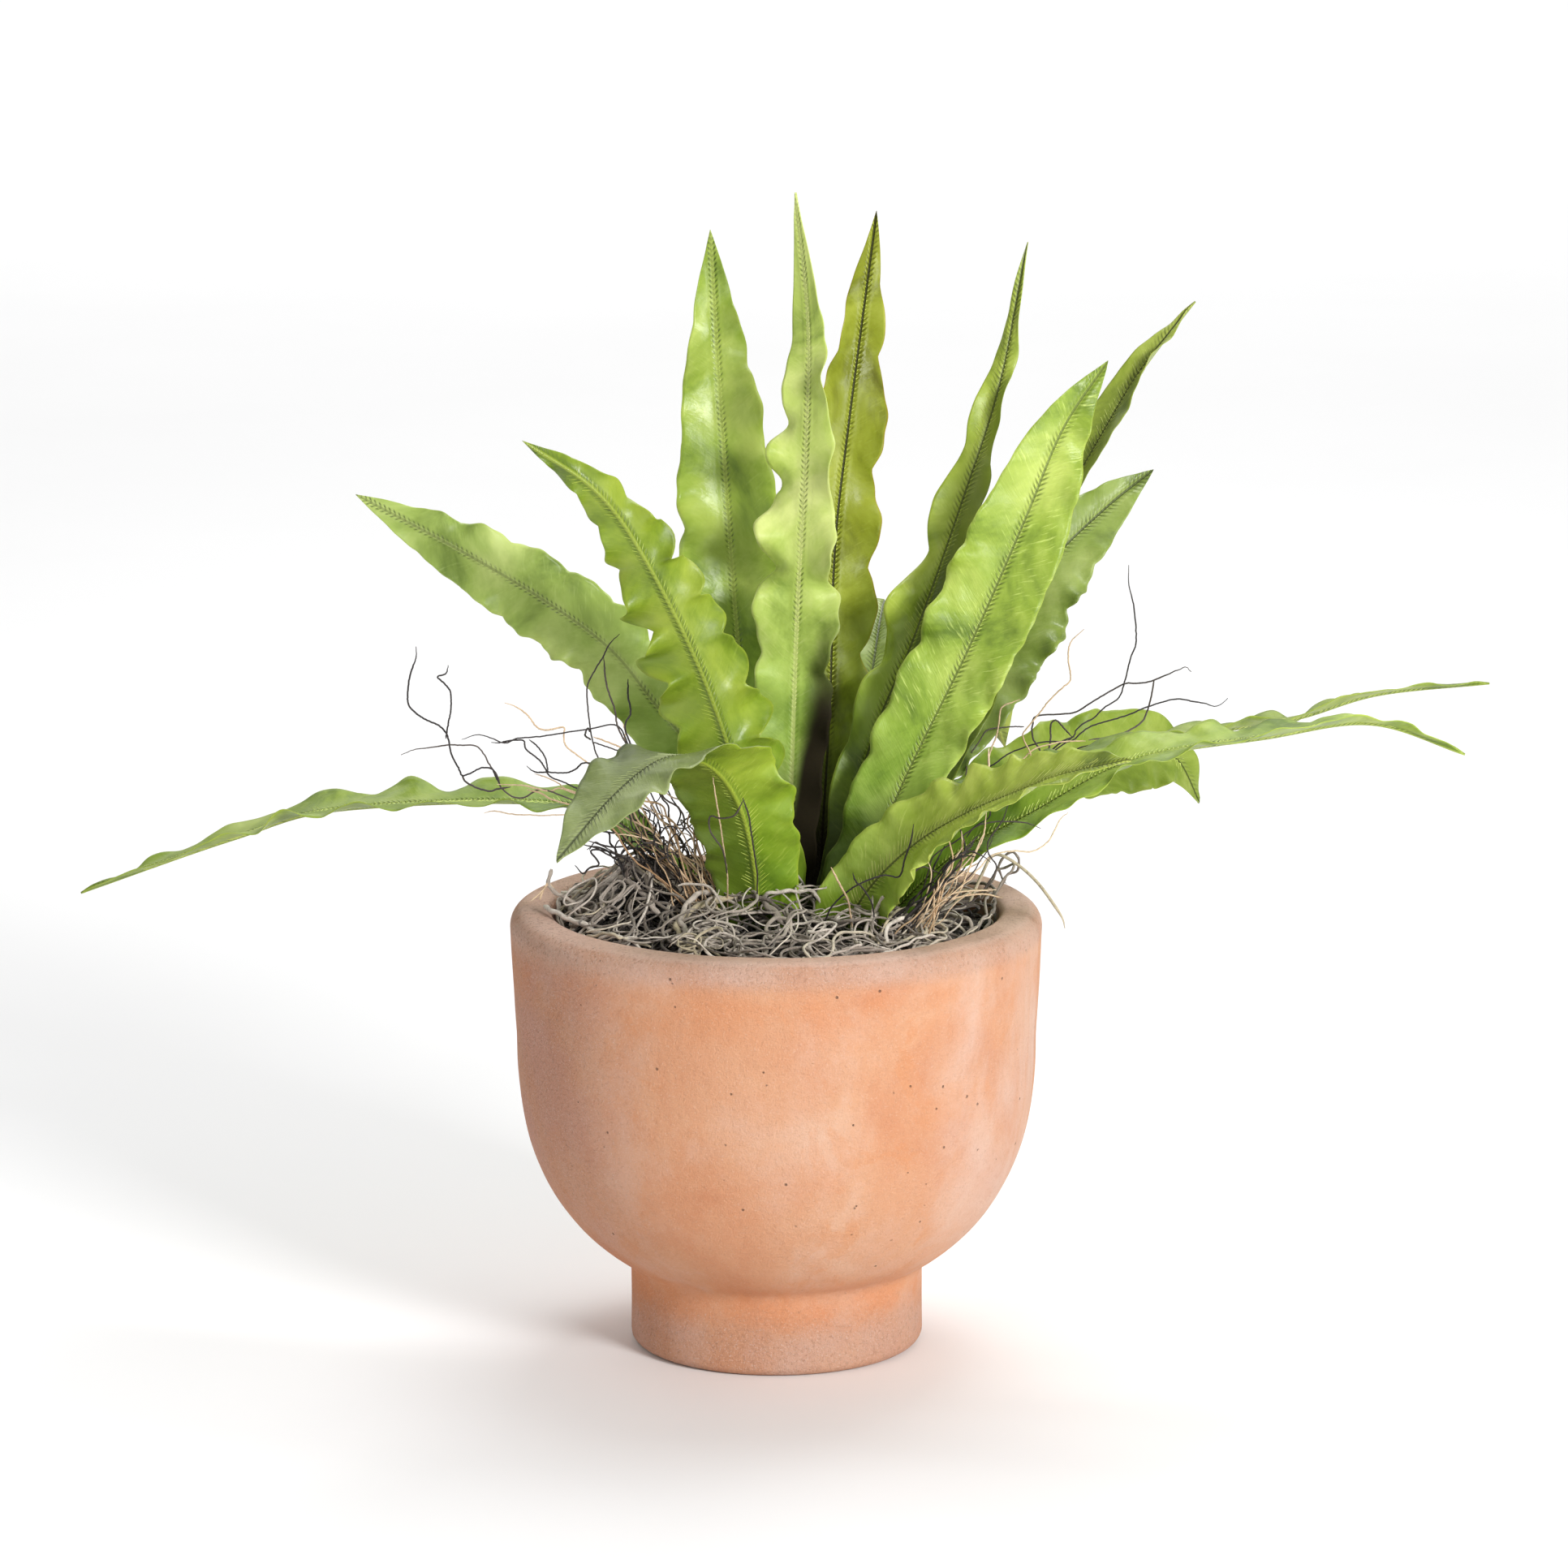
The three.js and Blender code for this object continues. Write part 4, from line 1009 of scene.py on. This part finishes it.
# wires given one by one, in millimetres; some branch off another wire
rootRoutes = {
    "dark_left": [
        [(-30, -16, 170), (-46, -14, 192), (-62, -14, 205), (-80, -14, 213), (-88, -8, 214), (-94, -8, 211),
         (-98, -7, 211), (-101, -7, 213), (-103, -6, 215), (-104, -6, 219), (-107, -5, 223),
         (-109, -5, 227), (-112, -5, 230), (-118, -4, 230), (-122, -3, 230), (-129, -3, 229),
         (-135, -2, 228), (-140, -2, 226)],
        [(-103, -6, 215), (-105, -7, 220), (-106, -8, 222), (-110, -7, 222), (-114, -7, 220),
         (-117, -6, 219), (-118, -6, 221), (-121, -6, 227), (-122, -5, 232), (-123, -5, 235),
         (-126, -5, 238), (-131, -4, 240), (-135, -4, 243), (-137, -4, 246), (-137, -3, 252),
         (-136, -3, 257), (-134, -2, 263), (-134, -2, 267)],
        [(-123, -6, 233), (-122, -7, 239), (-121, -6, 244), (-121, -6, 250), (-122, -5, 252),
         (-124, -4, 254), (-126, -4, 256), (-123, -3, 257), (-122, -2, 260)],
        [(-117, -6, 219), (-116, -3, 216), (-112, -4, 214), (-107, -6, 213), (-104, -7, 214),
         (-99, -8, 215)],
        [(-30, -14, 172), (-44, -14, 208), (-54, -14, 230), (-59, -12, 239), (-69, -13, 238),
         (-81, -12, 236), (-87, -12, 235), (-96, -11, 234), (-101, -10, 232), (-106, -10, 234),
         (-111, -9, 235), (-117, -8, 233)],
        [(-54, -14, 230), (-56, -13, 233), (-59, -12, 239), (-60, -10, 245), (-63, -9, 254),
         (-64, -8, 264)],
        [(-48, -14, 206), (-60, -14, 218), (-66, -14, 227), (-68, -13, 233), (-69, -12, 238),
         (-70, -12, 247), (-70, -11, 254), (-67, -10, 260), (-64, -10, 265), (-62, -9, 269),
         (-58, -8, 273)],
        [(-50, -14, 224), (-56, -14, 238), (-54, -12, 244), (-55, -10, 250), (-55, -8, 256)],
        [(-66, -14, 212), (-79, -14, 218), (-84, -13, 220), (-86, -12, 223), (-88, -12, 226),
         (-93, -11, 230), (-94, -10, 233), (-99, -10, 233), (-103, -9, 232), (-106, -8, 232)],
        [(-85, -14, 222), (-85, -12, 223), (-86, -11, 227), (-89, -10, 231), (-92, -8, 233)],
        [(-58, -14, 222), (-68, -14, 225), (-72, -13, 225), (-74, -12, 223), (-78, -11, 221),
         (-85, -10, 221), (-90, -9, 221), (-93, -8, 223)],
        [(-69, -8, 233), (-71, -10, 235), (-70, -12, 238), (-69, -14, 237)],
        [(-68, -8, 232), (-64, -10, 231), (-60, -12, 230), (-56, -14, 229)],
        [(-42, -20, 178), (-48, -16, 184), (-56, -15, 189), (-63, -15, 192), (-69, -14, 192),
         (-66, -14, 187), (-70, -13, 185), (-72, -13, 183), (-75, -12, 186)],
        [(-36, -20, 178), (-43, -18, 184), (-53, -16, 189), (-61, -15, 190), (-67, -14, 193),
         (-73, -12, 194)],
        [(-32, -20, 176), (-39, -18, 181), (-48, -16, 188), (-59, -15, 191), (-65, -14, 194),
         (-72, -12, 196)],
        [(-32, -22, 174), (-35, -20, 179), (-39, -20, 187), (-42, -20, 193), (-46, -20, 200),
         (-52, -20, 204), (-54, -20, 210)],
        [(-26, -24, 172), (-28, -22, 179), (-30, -21, 189), (-30, -21, 195), (-33, -20, 201),
         (-38, -19, 202), (-43, -19, 205), (-49, -18, 210)],
        [(-28, -22, 174), (-31, -19, 183), (-33, -18, 193), (-37, -17, 198), (-40, -16, 204),
         (-40, -15, 209), (-43, -14, 213), (-46, -13, 222)],
        [(-30, -20, 176), (-33, -20, 192), (-37, -18, 196), (-34, -16, 202), (-36, -14, 208),
         (-42, -12, 212), (-44, -12, 220)],
        [(-7, -33, 174), (-7, -36, 182), (-7, -43, 190), (-8, -50, 199), (-9, -58, 208), (-10, -65, 216),
         (-12, -72, 224)],
        [(-18, -44, 190), (-19, -52, 198), (-20, -55, 202), (-24, -59, 209), (-24, -62, 215),
         (-20, -65, 215), (-15, -69, 217), (-12, -72, 223)],
    ],
    "tan_left": [
        [(-20, -28, 170), (-30, -26, 188), (-44, -24, 200), (-60, -20, 208), (-79, -12, 215),
         (-84, -11, 214), (-90, -10, 215), (-94, -10, 216), (-99, -9, 216), (-104, -8, 216)],
        [(-60, -18, 206), (-70, -15, 208), (-80, -12, 210), (-84, -11, 211), (-88, -9, 213),
         (-93, -8, 214)],
        [(-66, -16, 212), (-78, -12, 215), (-81, -11, 217), (-86, -9, 219), (-90, -8, 220)],
        [(-48, -20, 210), (-60, -16, 219), (-70, -12, 225), (-74, -12, 228), (-78, -11, 231),
         (-79, -11, 235), (-79, -10, 238), (-85, -10, 237), (-89, -9, 238), (-92, -9, 242), (-96, -8, 245),
         (-101, -8, 247)],
        [(-70, -14, 206), (-87, -12, 205), (-91, -11, 205), (-98, -10, 205), (-105, -9, 206),
         (-109, -8, 205)],
        [(-52, -16, 224), (-56, -12, 233), (-56, -10, 236), (-57, -8, 239)],
        [(-52, -15, 229), (-58, -12, 231), (-64, -10, 233), (-68, -8, 234)],
        [(-18, -27, 170), (-18, -32, 178), (-18, -38, 188), (-19, -43, 197), (-20, -49, 206),
         (-21, -54, 214), (-22, -60, 222), (-23, -64, 230)],
        [(-19, -26, 170), (-19, -25, 177), (-20, -25, 184), (-25, -26, 190), (-28, -27, 199),
         (-30, -28, 206), (-32, -29, 213), (-39, -30, 216), (-43, -31, 221)],
        [(-19, -26, 172), (-20, -24, 184), (-28, -25, 189), (-36, -25, 193), (-43, -25, 197),
         (-52, -26, 200), (-60, -26, 201)],
        [(-22, -24, 170), (-25, -22, 177), (-31, -22, 185), (-38, -23, 195), (-45, -23, 201),
         (-49, -24, 209), (-52, -24, 214), (-54, -24, 221)],
        [(-83, -15, 178), (-85, -15, 180), (-87, -20, 178), (-91, -24, 175)],
        [(-84, -15, 179), (-86, -17, 179), (-88, -22, 175)],
    ],
    "dark_right": [
        [(60, 8, 168), (76, 22, 194), (90, 30, 210), (100, 32, 217), (112, 32, 226), (113, 33, 228),
         (116, 33, 231), (120, 34, 233), (124, 34, 237), (129, 35, 240), (131, 35, 244), (134, 36, 256),
         (136, 36, 262), (135, 37, 275), (133, 37, 284), (133, 38, 291)],
        [(70, 16, 186), (88, 28, 204), (100, 32, 217), (97, 32, 226), (97, 33, 231), (99, 34, 234),
         (112, 34, 235), (119, 34, 239), (126, 35, 243), (132, 36, 246), (136, 36, 246), (142, 36, 247),
         (152, 37, 251), (155, 38, 252), (157, 38, 250)],
        [(60, 14, 196), (76, 32, 211), (83, 32, 216), (89, 33, 220), (101, 33, 224), (111, 34, 224),
         (115, 34, 227), (120, 35, 230), (133, 35, 234), (140, 35, 237), (151, 36, 240), (158, 36, 239),
         (163, 37, 238), (166, 37, 237), (169, 38, 238), (171, 38, 240)],
        [(143, 38, 247), (142, 37, 241), (140, 36, 234), (138, 35, 231), (133, 34, 228), (127, 33, 226),
         (118, 32, 225)],
        [(98, 36, 212), (106, 38, 217), (108, 36, 220), (113, 34, 221), (118, 32, 223)],
        [(103, 36, 219), (104, 38, 224), (104, 36, 230), (106, 35, 232), (109, 34, 229), (112, 32, 226)],
        [(94, 38, 229), (87, 37, 229), (80, 36, 228), (77, 35, 224), (73, 34, 218), (72, 33, 213),
         (72, 32, 208)],
        [(113, 38, 225), (109, 36, 224), (105, 35, 221), (100, 34, 217), (95, 32, 215), (86, 28, 206)],
        [(50, -40, 168), (56, -42, 190), (58, -42, 196), (66, -44, 202), (76, -46, 209), (90, -48, 210),
         (97, -50, 208)],
        [(48, -40, 166), (51, -42, 172), (64, -43, 176), (73, -44, 180), (79, -45, 188), (81, -46, 193),
         (78, -47, 198), (78, -48, 203), (83, -49, 211), (85, -50, 217)],
        [(38, -40, 170), (40, -42, 177), (45, -43, 184), (53, -44, 192), (58, -45, 191), (63, -47, 190),
         (68, -48, 196), (70, -49, 201), (75, -50, 206)],
        [(70, -42, 203), (73, -42, 207), (78, -45, 211), (79, -47, 215), (82, -50, 216)],
        [(18, -46, 172), (20, -50, 178), (24, -52, 183), (30, -55, 188), (39, -57, 192), (45, -59, 192),
         (47, -61, 199), (49, -64, 206), (50, -66, 213)],
        [(37, -46, 168), (36, -50, 175), (35, -54, 181), (32, -58, 187), (29, -62, 191), (28, -66, 195)],
    ],
    "tan_right": [
        [(78, 22, 200), (90, 25, 212), (96, 26, 219), (94, 26, 225), (93, 27, 228), (95, 27, 231),
         (100, 28, 237), (103, 28, 241), (108, 28, 246), (111, 29, 249), (110, 29, 257), (111, 30, 263),
         (116, 30, 268)],
        [(76, 20, 200), (81, 26, 212), (80, 27, 217), (81, 27, 222), (83, 28, 227), (84, 28, 232),
         (85, 29, 238), (89, 29, 240), (92, 30, 241)],
        [(92, 26, 216), (92, 27, 217), (97, 28, 222), (103, 28, 224), (109, 29, 225), (117, 30, 225)],
        [(48, -42, 168), (51, -44, 172), (58, -45, 179), (65, -46, 181), (68, -47, 185), (70, -47, 190),
         (73, -48, 198), (76, -49, 205), (77, -50, 214)],
        [(47, -42, 168), (51, -44, 173), (56, -46, 176), (63, -47, 182), (69, -48, 184), (81, -50, 185)],
        [(56, -42, 178), (61, -44, 185), (62, -45, 188), (73, -46, 191), (79, -46, 197), (87, -47, 199),
         (94, -48, 199), (100, -48, 203), (104, -49, 211), (107, -50, 214)],
        [(60, -42, 186), (63, -44, 192), (64, -46, 195), (68, -48, 200), (68, -50, 207)],
        [(52, -42, 168), (58, -44, 176), (66, -46, 181), (76, -48, 183), (83, -50, 182)],
        [(58, -43, 166), (58, -44, 171), (58, -46, 173), (58, -48, 181), (58, -50, 187)],
        [(28, -46, 170), (27, -50, 178), (26, -55, 183), (23, -61, 190), (20, -66, 197)],
        [(72, -36, 216), (76, -40, 224), (78, -42, 229), (78, -40, 236)],
    ],
}


def wirePath(rng, start, target, spray):
    # a wire that heads for its target, with kinks every few millimetres
    place, target = np.array(start, float), np.array(target, float)
    length = np.linalg.norm(target - place) * rng.uniform(0.7, 1.08)
    heading = unit(target - place + scatter(rng, 1) * length * spray["stray"])
    path, done = [place], 0.0
    while done < length:
        step = rng.uniform(2.2, 5.0)
        pull = unit(target - place) if done < length * 0.75 else heading
        bend = scatter(rng, 1) * spray["kink"]
        heading = unit(heading * 0.45 + pull * 0.55 + bend * (0.5 + done / length))
        place = place + heading * step
        done += step
        path.append(place)
    return path


def sprayGoal(rng, spray):
    # somewhere on the line through the points that the spray leans to
    goals = spray["towards"]
    which = rng.random() * (len(goals) - 1)
    first, blend = int(which), which - int(which)
    goal = np.array(goals[first]) * (1 - blend) + np.array(goals[first + 1]) * blend
    return goal + scatter(rng, 1) * spray["scatter"]


def rootMaterial(name, stops):
    s = Shader(name, 0.6, 0.4)
    tone, _, _ = s.uv("strand")
    bark = s.noise(s.place(), 700, 4, 0.7)
    colour = s.mix(s.span(bark, 0.40, 0.7, 0.0, 0.4), s.ramp(tone, stops), stops[0][1])
    return s.finish(colour, s.bump(bark, 0.0008, 0.8))


def makeRoots():
    finishes = {kind: rootMaterial(kind + "Root", stops) for kind, stops in rootTones.items()}
    for number, (name, spray) in enumerate(rootSprays.items()):
        rng = random.Random(40 + number)
        strands = []
        for route in rootRoutes[name]:
            path = evenPath(route, len(route) * 8)
            path = path + np.array([scatter(rng, 0.05) for _ in path])
            radius = spray["radius"] * rng.uniform(0.95, 1.25)
            strands.append((path * mm, tapered(len(path), radius, 0.4) * mm, rng.uniform(0.35, 1)))
        for _ in range(spray["count"]):
            start = [rng.uniform(a, b) for a, b in zip(spray["low"], spray["high"])]
            knots = wirePath(rng, start, sprayGoal(rng, spray), spray)
            path = evenPath(knots, len(knots) * 5)
            radius = spray["radius"] * rng.uniform(0.7, 1.3)
            strands.append((path * mm, tapered(len(path), radius, 0.35) * mm, rng.random()))
        kind = name.split("_")[0]
        strandPiece("roots_" + name + "_wires", strands, 6, finishes[kind], "roots_" + name)


makeRoots()
print("roots ready")
